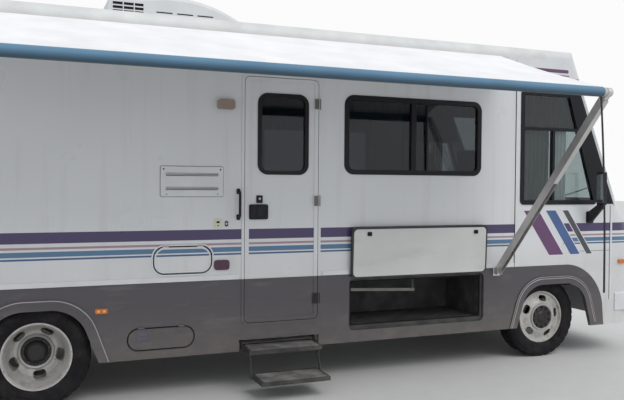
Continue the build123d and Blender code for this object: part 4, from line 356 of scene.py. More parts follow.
MATERIAL = {
    "skin": gelcoat("gelcoat_striped", (REAR_X + 0.010, SEAM_X + 0.010)),
    "skin_door": gelcoat("gelcoat_door", (1.670, 2.261)),
    "skin_frame": gelcoat("gelcoat_frame"),
    "skin_cab": gelcoat("gelcoat_cab", (FRONT_X + 0.174, NOSE_X - 0.090), split=False),
    "skin_plain": gelcoat("gelcoat_plain", split=False),
    "roof": plain("roof_membrane", (0.66, 0.67, 0.66), 0.55, 0.08, 40.0, 0.0008),
    "trim_white": plain("trim_white", (0.66, 0.67, 0.68), 0.38, 0.05),
    "frame": plain("frame_black", (0.008, 0.008, 0.011), 0.38, 0.2, Specular_IOR_Level=0.28),
    "seal": plain("seal_rubber", (0.008, 0.008, 0.009), 0.75, 0.2, Specular_IOR_Level=0.25),
    "plastic": plain("plastic_black", (0.014, 0.014, 0.018), 0.5, 0.2, 140.0, 0.0005, Specular_IOR_Level=0.3),
    "cab_plastic": plain("cab_plastic_grained", (0.070, 0.072, 0.078), 0.6, 0.12, 260.0, 0.0008),
    "aluminium": brushed("aluminium_brushed", (0.62, 0.62, 0.62)),
    "awning_metal": brushed("awning_metal", (0.64, 0.62, 0.61), 0.42, (1, 1, 0.02)),
    "steel": brushed("steel_bright", (0.52, 0.52, 0.53), 0.3),
    "chassis": dusty("chassis_black", (0.030, 0.030, 0.030), 0.6),
    "axle": dusty("axle_black", (0.045, 0.042, 0.040), 0.65, amount=0.7),
    "step": dusty("step_black", (0.030, 0.030, 0.032), 0.55, amount=0.35),
    "compartment": dusty("compartment_dark", (0.040, 0.040, 0.042), 0.6, amount=0.3),
    "wheel": wheel_paint("wheel_silver"),
    "hub": dusty("hub_black", (0.022, 0.020, 0.020), 0.45, amount=0.4),
    "tyre": rubber_black("tyre_rubber"),
    "glass": glass("glass_tinted", (0.11, 0.12, 0.13), cab=(0.50, 0.56, 0.56)),
    "lens_clear": glass("lens_clear", (0.90, 0.92, 0.93), 0.04),
    "amber": lens("lens_amber", (0.55, 0.14, 0.015), (1.38, 1.55, 2.30), (0.30, 0.225, 0.185)),
    # bright amber discs on the arch marker: painted highlights in its lens
    "amber_painted_highlight": plain("lens_amber_painted_highlight", (0.95, 0.42, 0.09), 0.2, 0.05, 90.0, 0.0004, Coat_Weight=0.6),
    "red": lens("lens_red", (0.34, 0.012, 0.02), (1.36, 1.52, 1.00), (0.045, 0.004, 0.030)),
    "magenta": plain("lens_magenta", (0.115, 0.010, 0.070), 0.22, 0.1, 90.0, 0.0006, Coat_Weight=0.6),
    "outlet": plain("outlet_yellowed", (0.62, 0.62, 0.47), 0.45, 0.06),
    "latch": plain("latch_lilac", (0.135, 0.125, 0.155), 0.4, 0.15, 80.0, 0.0006, Metallic=0.3),
    # light grey arch beads: painted highlight along the wheel-arch lips
    "bead_painted_highlight": plain("arch_bead_painted_highlight", (0.38, 0.36, 0.37), 0.42, 0.15, 50.0, 0.0006),
    **{name: plain(name, colour, 0.36, 0.1, 60.0, 0.0002, Coat_Weight=0.3) for name, colour in BAR_COLOURS},
    "bar_edge": plain("bar_edge", (0.72, 0.70, 0.76), 0.38, 0.04, 60.0, 0.0002),
    "worn_steel": plain("rail_worn", (0.17, 0.165, 0.15), 0.5, 0.25, 50.0, 0.0008, Metallic=0.3),
    "step_pad": dusty("step_grit", (0.115, 0.108, 0.104), 0.85, (0.30, 0.29, 0.28), 0.85),
    "lid": lid_paint("lid_lining"),
    "roller": roller_cloth("roller_cloth"),
    "awning": woven("awning_cloth", (0.90, 0.90, 0.91), 0.0016, 0.8, 0.03),
    "webbing": woven("webbing_black", (0.030, 0.030, 0.034), 0.0022, 0.85, 0.5),
    "valance": woven("valance_cloth", (0.022, 0.026, 0.034), 0.0018, 0.9, 0.2),
    "curtain": woven("curtain_cloth", (0.90, 0.93, 0.93), 0.0018, 0.9, 0.1),
    "curtain_grey": woven("curtain_grey", (0.19, 0.21, 0.20), 0.0018, 0.9, 0.2),
    "seat": woven("seat_cloth", (0.20, 0.22, 0.26), 0.003, 0.95, 0.35, Sheen_Weight=0.3),
    "floor": plain("floor_board", (0.24, 0.18, 0.13), 0.6, 0.2, 30.0, 0.001),
    "engine": dusty("engine_iron", (0.06, 0.058, 0.056), 0.6, amount=0.6),
    "mirror": plain("mirror_glass", (0.85, 0.86, 0.87), 0.05, 0.01, 10.0, 0.0, Metallic=1.0),
}

# Finish of each CAD node that stays visible: finish -> nodes
NODE_FINISH = {
    "skin":
        "side_wall_right side_wall_left rear_wall skirt_right skirt_left service_hatch utility_hatch "
        "storage_lid_left",
    "skin_cab": "cab_sides front_cap",
    "roof": "roof",
    "floor": "floor",
    "skin_door": "entry_door",
    "skin_frame": "entry_door_frame",
    "frame": "entry_door_window window_frames",
    "glass": "entry_door_glass window_glass",
    "lid": "storage_lid_right",
    "compartment": "compartments",
    "chassis": "chassis_frame fuel_tank rear_bumper",
    "engine": "engine",
    "axle": "rear_axle front_axle knuckle_right knuckle_left",
    "trim_white": "front_bumper air_conditioner roof_vents fridge_vent",
    "awning_metal": "awning_frame",
    "roller": "awning_roller",
    "awning": "awning_fabric",
    "webbing": "awning_strap",
    "plastic": "mirrors grab_handle",
    "amber": "amber_lamps",
    "red": "red_lamps",
    "lens_clear": "headlamps",
    "cab_plastic": "dashboard steering_wheel",
    "seat": "cab_seats",
    "curtain": "curtains",
    "aluminium": "rear_ladder",
    "step": "step_frame step_arms step_upper_tread step_links step_lower_tread",
    "tyre": "tyres_rear_right tyres_rear_left tyre_front_right tyre_front_left",
    "wheel": "rims_rear_right rims_rear_left rim_front_right rim_front_left",
}


def finish_nodes():
    for finish, names in NODE_FINISH.items():
        for name in names.split():
            mesh = nodes[name].data
            mesh.materials.clear()
            mesh.materials.append(MATERIAL[finish])


finish_nodes()


# Shapes

class Mesh:
    """Faces gathered in one mesh, then finished as a piece that rides on a body."""

    def __init__(self):
        self.bm = bmesh.new()

    def skin(self, rows, ring=False, loop=False, caps=False):
        """Faces between rows of points; ring joins the ends of each row, loop joins the last row to the first."""
        lines = [[self.bm.verts.new(point) for point in row] for row in rows]
        pairs = list(zip(lines, lines[1:] + lines[:1]))
        for first, second in pairs if loop else pairs[:-1]:
            count = len(first)
            for i in range(count if ring else count - 1):
                j = (i + 1) % count
                self.bm.faces.new((first[i], first[j], second[j], second[i]))
        if caps:
            self.bm.faces.new(lines[0][::-1])
            self.bm.faces.new(lines[-1])

    def plate(self, outline, place, low, high, chamfer=0.001):
        """Solid under an outline, with a chamfer round its outer face."""
        steps = ((0, low), (0, high - chamfer), (chamfer, high))
        self.skin([[place(u, v, out) for u, v in outline(inset)] for inset, out in steps], ring=True, caps=True)

    def band(self, outline, place, low, high, width, chamfer=0.001):
        """Raised ring inside an outline."""
        steps = ((0, low), (0, high - chamfer), (chamfer, high), (width - chamfer, high), (width, high - chamfer),
                 (width, low))
        self.skin([[place(u, v, out) for u, v in outline(inset)] for inset, out in steps], ring=True, loop=True)

    def patch(self, left, right, z0, z1, place, low, high, rows=12, columns=6):
        """Slab between two edges that are functions of height, bent with the surface that place follows."""
        lines = []
        for i in range(rows + 1):
            z = z0 + (z1 - z0) * i / rows
            xs = [left(z) + (right(z) - left(z)) * j / columns for j in range(columns + 1)]
            lines.append([place(x, z, high) for x in xs] + [place(x, z, low) for x in reversed(xs)])
        self.skin(lines, ring=True, caps=True)

    def sweep(self, points, section, side=None):
        """Bar along a line, with a section of (across, up) offsets."""
        points = [Vector(point) for point in points]
        ways = [(b - a).normalized() for a, b in zip(points, points[1:])]
        ways = [ways[0]] + [(a + b).normalized() for a, b in zip(ways, ways[1:])] + [ways[-1]]
        side = Vector(side) if side else ways[0].orthogonal()
        rows = []
        for i, (point, way) in enumerate(zip(points, ways)):
            side = (side - way * side.dot(way)).normalized()
            up = way.cross(side)
            offsets = section(i / (len(points) - 1)) if callable(section) else section
            rows.append([point + side * across + up * height for across, height in offsets])
        self.skin(rows, ring=True, caps=True)

    def tube(self, points, radius, sides=10):
        self.sweep(points, disc(0, 0, radius, sides)())

    def turn(self, profile, x, side, steps=96, cut=0.0, caps=False):
        """Surface turned about an axle from a profile of (out, radius, share of the tread cut)."""
        rows = []
        for out, radius, *share in profile:
            row = []
            for i in range(steps):
                angle = 2 * pi * i / steps
                reach = radius - (cut * share[0] if share and i % 4 == 0 else 0)
                row.append(Vector((x + reach * cos(angle), side * out, AXLE_Z + reach * sin(angle))))
            rows.append(row)
        self.skin(rows, ring=True, loop=not caps, caps=caps)

    def data(self, name):
        bmesh.ops.recalc_face_normals(self.bm, faces=self.bm.faces)
        mesh = bpy.data.meshes.new(name)
        self.bm.to_mesh(mesh)
        self.bm.free()
        return mesh

    def finish(self, name, finish, slot, body="root", smooth=35, replaces=()):
        return add_piece(name, self.data(name), finish, body, smooth, replaces)


def linked(name, data):
    """New object in the scene."""
    obj = bpy.data.objects.new(name, data)
    bpy.context.scene.collection.objects.link(obj)
    return obj


def add_piece(name, mesh, finish, body="root", smooth=35, replaces=()):
    mesh.materials.clear()
    mesh.materials.append(MATERIAL[finish])
    for face in mesh.polygons:
        face.use_smooth = True
    mesh.set_sharp_from_angle(angle=radians(smooth))
    piece = linked(name, mesh)
    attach(piece, body)
    if replaces:
        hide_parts(*replaces)
    return piece


def on_side(side, level=0.0):
    """Place on a side of the body, from distances forward, up and out of its skin."""
    return lambda u, v, out: Vector((u, side * (SKIN_Y + level + out), v))


def on_cross(x, way):
    """Place on a plane across the vehicle, from distances left, up and out along X."""
    return lambda u, v, out: Vector((x + way * out, u, v))


def on_cab(side):
    """Place on the side of the cab, which bends round to the windscreen above the cowl."""
    def place(u, v, out):
        edge = cab_front(v) - CAB_CORNER
        drop = CAB_CORNER - (max(0.0, CAB_CORNER ** 2 - (u - edge) ** 2)) ** 0.5 if u > edge else 0.0
        return Vector((u, side * (SKIN_Y - drop + out), v))
    return place


def rounded(x0, x1, z0, z1, radius, steps=6):
    """Rounded rectangle, as a function of how far it is drawn in."""
    def outline(inset=0.0):
        r = max(radius - inset, 0.0003)
        xs, zs = (x0 + inset + r, x1 - inset - r), (z0 + inset + r, z1 - inset - r)
        corners = ((xs[1], zs[0], -90), (xs[1], zs[1], 0), (xs[0], zs[1], 90), (xs[0], zs[0], 180))
        turns = [(x, z, radians(start + 90 * i / steps)) for x, z, start in corners for i in range(steps + 1)]
        return [(x + r * cos(angle), z + r * sin(angle)) for x, z, angle in turns]
    return outline


def disc(u, v, radius, steps=20):
    turns = [2 * pi * i / steps for i in range(steps)]
    return lambda inset=0.0: [(u + (radius - inset) * cos(a), v + (radius - inset) * sin(a)) for a in turns]


def bar_section(half_across, half_up):
    return [(-half_across, -half_up), (half_across, -half_up), (half_across, half_up), (-half_across, half_up)]


def bent(points, radius, steps=8):
    """Open line whose corners turn with a radius."""
    points = [Vector(point) for point in points]
    line = [points[0]]
    for a, b, c in zip(points, points[1:], points[2:]):
        into, out = (b - a).normalized(), (c - b).normalized()
        half = into.angle(out) / 2
        start = b - into * radius * tan(half)
        centre = b + (out - into).normalized() * (radius / cos(half))
        for i in range(steps + 1):
            angle = 2 * half * i / steps
            line.append(centre + (start - centre) * cos(angle) + into * radius * sin(angle))
    return line + [points[-1]]


def cab_front(z):
    """Front edge of the cab above its cowl."""
    return NOSE_X - COWL_STEP - CAB_SLOPE * (z - COWL_Z)


# Pull strap: the cord's route is that of the solid, in metres
STRAP_LEAN = radians(2.6)
STRAP_TOP = (4.178, -2.560, 2.4587)
STRAP_ROUTE = (
    (0, 0), (-0.008, -0.2437), (-0.0125, -0.4987), (-0.0135, -0.7587), (-0.0105, -1.0287), (-0.003, -1.2937),
    (0.009, -1.5717),
)


def make_strap():
    curve = bpy.data.curves.new("strap_route", "CURVE")
    curve.dimensions = "3D"
    curve.resolution_u = 16
    spline = curve.splines.new("NURBS")
    spline.points.add(len(STRAP_ROUTE) - 1)
    for point, (out, up) in zip(spline.points, STRAP_ROUTE):
        place = (STRAP_TOP[0] - up * sin(STRAP_LEAN), STRAP_TOP[1] + out, STRAP_TOP[2] + up * cos(STRAP_LEAN))
        point.co = (*place, 1)
    spline.order_u = 3
    spline.use_endpoint_u = True
    route = bpy.data.objects.new("strap_route", curve)
    line = [vertex.co.copy() for vertex in bpy.data.meshes.new_from_object(route).vertices]
    bpy.data.objects.remove(route)
    webbing = Mesh()

    def section(share):
        """Flat webbing, thicker along its hem at the lower end."""
        thick = 0.0016 if share > 0.86 else 0.0009
        lower = [(-0.0098, -thick), (-0.005, -thick * 1.2), (0.005, -thick * 1.2), (0.0098, -thick)]
        return lower + [(across, -up) for across, up in reversed(lower)]

    webbing.sweep(line, section, (1, 0, 0))
    strap = webbing.finish("pull_strap", "webbing", "webbing_black", replaces=("awning_strap",))


# Awning cloth: one sheet from the wall rail to the roller, sagging a little between them
def make_awning():
    (x0, y0, z0), (x1, y1, z1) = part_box("awning_fabric")
    columns, rows = 72, 20
    cloth = Mesh()
    lines = []
    for i in range(columns + 1):
        x = x0 + (x1 - x0) * i / columns
        edge = min(x - x0, x1 - x) / 0.10
        top = []
        for j in range(rows + 1):
            share = j / rows
            sag = 0.014 * sin(pi * share) * (0.75 + 0.25 * cos(3.2 * x + 1.0))
            ripple = 0.0022 * sin(19.0 * x + 2.0 * sin(2.3 * x)) * sin(pi * share) ** 0.5
            hem = 0.004 * max(0.0, 1 - edge) * sin(pi * share)
            y = y1 + (y0 - y1) * share
            z = z1 - 0.0035 + (z0 + 0.0015 - z1 + 0.0035) * share - sag + ripple - hem
            top.append(Vector((x, y, z)))
        lines.append(top + [point - Vector((0, 0, 0.0012)) for point in reversed(top)])
    cloth.skin(lines, ring=True, caps=True)
    sheet = cloth.finish("awning_cloth", "awning", "awning_cloth", replaces=("awning_fabric",))


# Tyres: side wall with moulded rings, ribbed tread and cut shoulders, as (out, radius, share of the cut)
TYRE_SIDE = (
    (0.0785, 0.2485), (0.0785, 0.2645), (0.0840, 0.2655), (0.0905, 0.2700), (0.0950, 0.2780), (0.0985, 0.2870),
    (0.1003, 0.2882), (0.1012, 0.2912), (0.1010, 0.2925), (0.1048, 0.3040), (0.1062, 0.3046), (0.1080, 0.3110),
    (0.1078, 0.3120), (0.1102, 0.3240), (0.1118, 0.3370), (0.1116, 0.3480), (0.1104, 0.3560), (0.1110, 0.3572),
    (0.1092, 0.3660), (0.1082, 0.3668), (0.1050, 0.3740), (0.1062, 0.3760, 1), (0.1010, 0.3890, 1),
    (0.0945, 0.3985, 1), (0.0870, 0.4025, 1), (0.0660, 0.4040, 1),
)
TREAD_RIBS = (
    (0.0600, 0.4043), (0.0585, 0.3925), (0.0515, 0.3925), (0.0500, 0.4046), (0.0240, 0.4050), (0.0225, 0.3925),
    (0.0155, 0.3925), (0.0140, 0.4050),
)
DUAL_YS = (0.803, 1.063)
FRONT_Y = 1.012


def make_tyres():
    half = TYRE_SIDE + TREAD_RIBS
    whole = [(-out, *rest) for out, *rest in half] + [(out, *rest) for out, *rest in reversed(half)]
    for side, word in SIDES:
        for centres, x, end in ((DUAL_YS, 0.0, "rear"), ((FRONT_Y,), FRONT_X, "front")):
            tyres = Mesh()
            for centre in centres:
                tyres.turn([(centre + out, *rest) for out, *rest in whole], x, side, 120, cut=0.007)
            twin = "s" if end == "rear" else ""
            tyres.finish(f"tyre_tread_{end}_{word}", "tyre", "tyre_black", f"wheel{twin}_{end}_{word}", 30,
                         (f"tyre{twin}_{end}_{word}",))


# Wheels: nuts in the hub's recess, and bolts round its cap
WHEELS = (
    # body, axle x, plane and radius of the nuts, of the cap's bolts
    ("wheels_rear", 0.0, 0.949, 0.100, 0.995, 0.046),
    ("wheel_front", FRONT_X, 1.118, 0.097, 1.128, 0.034),
)
NUT = (10, 0.012, 0.018)                # count, radius, height
BOLT = (8, 0.006, 0.005)


def make_wheel_nuts():
    for side, word in SIDES:
        for body, x, nut_y, nut_radius, cap_y, cap_radius in WHEELS:
            def place(u, v, out):
                return Vector((x + u, side * out, AXLE_Z + v))
            nuts = Mesh()
            for (count, size, tall), base, reach in ((NUT, nut_y, nut_radius), (BOLT, cap_y, cap_radius)):
                for i in range(count):
                    angle = 2 * pi * (i + 0.5) / count
                    centre = reach * cos(angle), reach * sin(angle)
                    nuts.plate(disc(*centre, size, 6), place, base - 0.004, base + tall, size * 0.2)
            nuts.finish(f"{body}_{word}_nuts", "hub", "chassis_black", f"{body}_{word}")


# Black quarter panels between the cab windows and the screen, with the bright strip of the screen's pillar
def window_edge(z):
    """Slanted front edge of the cab window."""
    return NOSE_X - 0.586 - 0.355 * (z - COWL_Z) / (2.690 - COWL_Z)


def pillar_edge(z):
    return cab_front(z) - 0.112


def make_quarter_panels():
    for side, word in SIDES:
        place = on_cab(side)
        panel = Mesh()
        panel.patch(lambda z: window_edge(z) + 0.002, lambda z: pillar_edge(z) - 0.012, COWL_Z + 0.004, 2.700,
                    place, -0.001, 0.0035, 16, 8)
        panel.finish(f"quarter_panel_{word}", "frame", "frame_black")
        strip = Mesh()
        strip.patch(lambda z: pillar_edge(z) - 0.014, pillar_edge, COWL_Z - 0.01, 2.835,
                    place, -0.002, 0.006, 16, 2)
        strip.finish(f"pillar_strip_{word}", "aluminium", "trim_aluminium")


# Curtains: pleated sheets behind the glass
CURTAIN_Y = SKIN_Y - 0.0513


def pleats(name, side, x0, x1, z0, z1, finish, depth, pitch, slant=0.0):
    """Sheet gathered between two ends; its front edge slants forward by its foot."""
    columns = max(12, int((x1 - x0) / pitch * 10))
    rows = 6
    lines = []
    for i in range(columns + 1):
        line = []
        for j in range(rows + 1):
            share = j / rows
            x = x0 + (x1 + slant * share - x0) * i / columns
            wave = sin(2 * pi * x / pitch + 0.9 * sin(5.1 * x) + 0.4 * share)
            y = CURTAIN_Y + depth * (0.55 + 0.45 * share) * wave
            line.append(Vector((x, side * y, z1 + (z0 - z1) * share)))
        lines.append(line)
    cloth = Mesh()
    cloth.skin(lines)
    sheet = cloth.finish(name, finish, "curtain_fabric", smooth=80)
    return sheet


WINDOWS = (
    # name, side, x0, x1
    ("lounge_right", RIGHT, 2.549, 3.991),
    ("bedroom_right", RIGHT, -2.350, -1.450),
    ("lounge_left", LEFT, 2.549, 3.991),
    ("kitchen_left", LEFT, 0.900, 1.600),
    ("bedroom_left", LEFT, -2.350, -1.450),
)
WINDOW_TOP = 2.540
CAB_CLOTHS = (
    # name, x0, x1, z0, z1, finish, depth, pitch, slant
    ("cab_valance", 4.475, 5.205, 2.316, 2.700, "valance", 0.010, 0.055, 0.105),
    ("cab_curtain", 4.878, 5.058, 1.586, 2.308, "curtain", 0.011, 0.045, 0.0),
    ("cab_shade", 4.480, 4.845, 1.586, 2.308, "curtain_grey", 0.010, 0.050, 0.0),
)


def make_curtains():
    for name, side, x0, x1 in WINDOWS:
        pleats(f"valance_{name}", side, x0 - 0.02, x1 + 0.02, WINDOW_TOP - 0.150, WINDOW_TOP + 0.025,
                             "valance", 0.010, 0.060)
    for side, word in SIDES:
        for name, *measures in CAB_CLOTHS:
            pleats(f"{name}_{word}", side, *measures)
    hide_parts("curtains")


# Cab seats: padded cushions and backs, swelled from slightly smaller blocks
SEAT_X, SEAT_Y, SEAT_Z = FRONT_X - 0.206, 0.520, 1.330
SEAM_WIDTH, SEAM_DEPTH = 0.011, 0.009
CLOTH_STEPS = 20


def modified(work):
    """Mesh of an object with its modifiers applied."""
    return bpy.data.meshes.new_from_object(work.evaluated_get(bpy.context.evaluated_depsgraph_get()))


def swell(mesh, voxel, cap):
    """Inflates a closed block as cloth, holding every point within a short way of where it was."""
    work = linked("swell", mesh)
    remesh = work.modifiers.new("remesh", "REMESH")
    remesh.mode = "VOXEL"
    remesh.voxel_size = voxel
    fine = modified(work)
    work.modifiers.clear()
    work.data = fine
    start = [vertex.co.copy() for vertex in fine.vertices]
    cloth = work.modifiers.new("cloth", "CLOTH")
    cloth.settings.use_pressure = True
    cloth.settings.uniform_pressure_force = 4
    cloth.settings.effector_weights.gravity = 0
    for step in range(1, CLOTH_STEPS + 1):
        bpy.context.scene.frame_set(step)
    fine = modified(work)
    bpy.context.scene.frame_set(1)
    for vertex, first in zip(fine.vertices, start):
        move = vertex.co - first
        if move.length > cap:
            vertex.co = first + move.normalized() * cap
    work.modifiers.clear()
    work.data = fine
    work.modifiers.new("smooth", "SUBSURF").levels = 1
    smooth = modified(work)
    bpy.data.objects.remove(work)
    return smooth


def seat_pad(x0, x1, z0, z1, half, seams):
    """Block of a pad, with rounded edges, swelled and then drawn in along its seams."""
    block = Mesh()
    block.plate(rounded(x0, x1, z0, z1, 0.035), lambda u, v, out: Vector((u, out, v)), -half, half, 0.02)
    mesh = swell(block.data("pad"), voxel=0.011, cap=0.012)
    for vertex in mesh.vertices:
        for axis, level in seams:
            near = (vertex.co[axis] - level) / SEAM_WIDTH
            if abs(near) < 3:
                vertex.co -= vertex.normal * SEAM_DEPTH * 2.718 ** (-near * near)
    return mesh


def make_seats():
    cushion = seat_pad(-0.235, 0.255, 0.014, 0.100, 0.240, ((1, -0.13), (1, 0.13), (0, -0.10)))
    back = seat_pad(-0.045, 0.045, 0.0, 0.690, 0.235, ((1, -0.13), (1, 0.13), (2, 0.46)))
    lean = Matrix.Rotation(radians(-8.7), 4, "Y")
    for side, word in SIDES:
        base = Matrix.Translation((SEAT_X, side * SEAT_Y, SEAT_Z))
        upright = Matrix.Translation((SEAT_X - 0.170, side * SEAT_Y, SEAT_Z + 0.118)) @ lean
        for name, source, place in (("cushion", cushion, base), ("back", back, upright)):
            mesh = source.copy()
            mesh.transform(place)
            pad = add_piece(f"seat_{name}_{word}", mesh, "seat", smooth=60)
    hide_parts("cab_seats")


make_strap()
make_awning()
make_tyres()
make_wheel_nuts()
make_quarter_panels()
make_curtains()
make_seats()


# Flat details on the sides: piece -> finish, slot, and its body where that isn't the root
PLATES = {
    "waist_moulding": ("trim_white", "body_white"),
    "cab_seam_strips": ("trim_white", "body_white"),
    "panel_seams": ("seal", "frame_black"),
    "service_ring": ("trim_white", "body_white"),
    "service_hatch_ring": ("trim_white", "body_white", "service_hatch"),
    "utility_latch": ("latch", "trim_aluminium", "utility_hatch"),
    "socket_cover": ("outlet", "body_white"),
    "blank_cover": ("skin_plain", "body_white"),
    "side_lock": ("steel", "trim_aluminium"),
    "vent_slats": ("trim_white", "body_white"),
    "small_screws": ("seal", "frame_black"),
    "door_latch": ("plastic", "frame_black", "entry_door"),
    "door_lock_cylinder": ("steel", "trim_aluminium", "entry_door"),
    "door_hinge_leaves": ("worn_steel", "trim_aluminium", "entry_door"),
    "lid_latches": ("plastic", "frame_black", "storage_lid_right"),
    # bright amber discs: painted highlights on the arch marker's lens
    "lamp_painted_highlights": ("amber_painted_highlight", "amber_lens"),
    "lens_ribs": ("magenta", "red_lens"),
    "window_sashes": ("frame", "frame_black"),
    "air_slots": ("seal", "frame_black"),
    "air_louvres": ("trim_white", "body_white"),
    "brow_stripes": ("bar_plum", "body_white"),
}

AIR = 0.370 - SKIN_Y                    # side of the air conditioner, from the wall
AIR_FOOT = AIR - 0.004
WALL_REAR = REAR_X + 0.058
MOULDING = (0.9445, 0.984, 0.002, 0.009)                            # z0, z1, corner radius, height
HINGES = (("door_latch", 0.750), ("door_hinge_leaves", 1.600), ("door_hinge_leaves", 2.440))

DETAILS = {
    # sides: piece: x0, x1, z0, z1, corner radius, height, width of a ring (0 is a plate), foot
    BOTH: {
        "cab_seam_strips": [
            (4.401, 4.447, 0.948, 2.99, 0.002, 0.0035),
            (5.6165, 5.6395, 0.56, 1.548, 0.002, 0.0035),
        ],
        "panel_seams": [
            (4.393, 4.3995, 0.946, 2.96, 0.001, 0.003),
            (5.608, 5.613, 0.56, 1.548, 0.001, 0.0015),
            (5.1, 5.606, 1.075, 1.0785, 0.001, 0.0012),
        ],
        "brow_stripes": [
            (4.6, 5.035, 2.881, 2.915, 0.014, 0.0016, 0, -0.0005),
            (4.6, 5.045, 2.85, 2.859, 0.003, 0.0016, 0, -0.0005),
        ],
        "window_sashes": [(3.388, 3.403, 1.884, 2.49, 0.001, -0.001, 0, -0.0054)],
        "waist_moulding": [(x0, x1, *MOULDING) for x0, x1 in ((2.345, 2.598), (4.05, 4.392))],
        "air_slots": [
            (0.955, 1.8, 3.15, 3.172, 0.004, AIR + 0.0015, 0, AIR_FOOT),
            *((x, x + 0.15, 3.298, 3.309, 0.005, AIR + 0.0015, 0, AIR_FOOT) for x in (1.04, 1.23, 1.42)),
            *((0.655, 0.925, 3.198 + 0.036 * i, 3.222 + 0.036 * i, 0.004, AIR + 0.0012, 0, AIR_FOOT)
              for i in range(5)),
        ],
        "air_louvres": [
            (x, x + 0.01, 3.19, 3.374, 0.002, AIR + 0.004, 0, AIR_FOOT) for x in (0.643, 0.741, 0.838, 0.926)
        ],
        # two bright amber discs on the arch marker, painted highlights in its lens
        "lamp_painted_highlights": [(x - 0.011, x + 0.011, 0.731, 0.751, 0.009, 0.0175, 0, 0.014) for x in (0.449, 0.493)],
    },
    (RIGHT,): {
        "panel_seams": [
            (0.8705, 1.3565, 1.0055, 1.2365, 0.09, 0.005, 0.0052),
            (0.667, 1.213, 0.401, 0.587, 0.088, 0.0025, 0.0055),
            (0.925, 1.449, 1.634, 1.887, 0.014, 0.001, 0.003),
        ],
        "service_ring": [(0.858, 1.369, 0.993, 1.249, 0.102, 0.006, 0.0125)],
        "service_hatch_ring": [(0.883, 1.344, 1.018, 1.223, 0.08, 0.0035, 0.013)],
        "utility_latch": [
            (0.747, 0.849, 0.478, 0.558, 0.01, 0.006),
            (0.756, 0.84, 0.522, 0.548, 0.008, 0.011, 0.004),
            (0.756, 0.84, 0.488, 0.514, 0.008, 0.011, 0.004),
            (0.93, 0.944, 0.529, 0.543, 0.007, 0.004),
        ],
        "socket_cover": [(1.372, 1.435, 1.381, 1.452, 0.006, 0.008)],
        "small_screws": [
            (1.39, 1.417, 1.418, 1.434, 0.004, 0.009),
            (1.397, 1.41, 1.392, 1.402, 0.004, 0.009),
            (1.461, 1.491, 1.388, 1.436, 0.015, 0.005),
            (0.946, 0.96, 1.853, 1.867, 0.007, 0.0135, 0, 0.01),
            (1.414, 1.428, 1.853, 1.867, 0.007, 0.0135, 0, 0.01),
            (0.97, 0.98, 1.652, 1.662, 0.005, 0.013, 0, 0.01),
            (1.394, 1.404, 1.652, 1.662, 0.005, 0.013, 0, 0.01),
        ],
        "blank_cover": [(0.859, 1.012, 1.386, 1.47, 0.005, 0.0028)],
        "side_lock": [
            (1.457, 1.495, 1.384, 1.44, 0.019, 0.007, 0.006),
            (1.468, 1.484, 1.402, 1.422, 0.008, 0.0085),
        ],
        "door_latch": [
            (1.6705, 1.8375, 1.4445, 1.5725, 0.016, 0.016),
            (1.68, 1.828, 1.454, 1.563, 0.02, 0.02, 0.01, 0.014),
            (1.738, 1.79, 1.468, 1.549, 0.006, 0.023, 0, 0.014),
            (1.735, 1.79, 1.583, 1.648, 0.006, 0.009),
        ],
        "door_lock_cylinder": [(1.753, 1.773, 1.61, 1.63, 0.01, 0.013, 0, 0.007)],
        "lens_ribs": [
            (1.39, 1.43, 1.04, 1.101, 0.006, 0.0165, 0.004, 0.012),
            (1.443, 1.483, 1.04, 1.101, 0.006, 0.0165, 0.004, 0.012),
        ],
        "waist_moulding": [(WALL_REAR, 1.585, *MOULDING)],
        "vent_slats": [
            (0.968, 1.406, base + rise, base + rise + 0.006, 0.001, 0.008)
            for base in (1.691, 1.805) for rise in (0.006, 0.017)
        ],
    },
    (LEFT,): {"waist_moulding": [(WALL_REAR, 2.347, *MOULDING)]},
}
LID_HINGE_Z, LID_FACE, LID_LEAN = 0.906, 0.044, radians(2)


def on_lid(u, v, out):
    """Place on the lining of the open storage lid, which leans out by two degrees."""
    return Vector((u, RIGHT * (SKIN_Y + LID_FACE + (v - LID_HINGE_Z) * tan(LID_LEAN) + out), v))


def add_detail(mesh, sides, x0, x1, z0, z1, radius, high, width=0, low=-0.001):
    for side in sides:
        outline, place = rounded(x0, x1, z0, z1, radius), on_side(side)
        if width:
            mesh.band(outline, place, low, high, width)
        else:
            mesh.plate(outline, place, low, high)


def make_details():
    meshes = {name: Mesh() for name in PLATES}
    for sides, pieces in DETAILS.items():
        for name, rows in pieces.items():
            for row in rows:
                add_detail(meshes[name], sides, *row)
    for x in (2.757, 3.883):
        meshes["lid_latches"].plate(rounded(x, x + 0.042, 1.286, 1.322, 0.008), on_lid, -0.001, 0.010)
        meshes["lid_latches"].plate(rounded(x + 0.014, x + 0.028, 1.292, 1.316, 0.003), on_lid, 0.009, 0.022)
    for name, z in HINGES:
        add_detail(meshes[name], (RIGHT,), 2.256, 2.300, z - 0.044, z + 0.044, 0.003, 0.0200, 0, 0.0185)
        meshes[name].tube([(2.310, -SKIN_Y - 0.015, z + end) for end in (-0.046, 0.046)], 0.0066, 12)
    for name, mesh in meshes.items():
        mesh.finish(name, *PLATES[name])


# Beads round the wheel arches, coloured light grey as painted highlights along the lips
ARCHES = (
    # rear and front at the foot, rear and front at the top, top, corner radius
    (-0.492, 0.492, -0.288, 0.288, AXLE_Z + 0.363, 0.285, (0.073,)),
    (FRONT_X - 0.426, FRONT_X + 0.563, FRONT_X - 0.266, FRONT_X + 0.414, AXLE_Z + 0.348, 0.262, (0.056, 0.075)),
)
ARCH_FOOT = 0.338
ARCH_START = SKIRT_Z + 0.035 - 0.100    # height where the arches' sides begin to lean
ARCH_OUT = 0.0115                       # middle of the edge, out from the wall


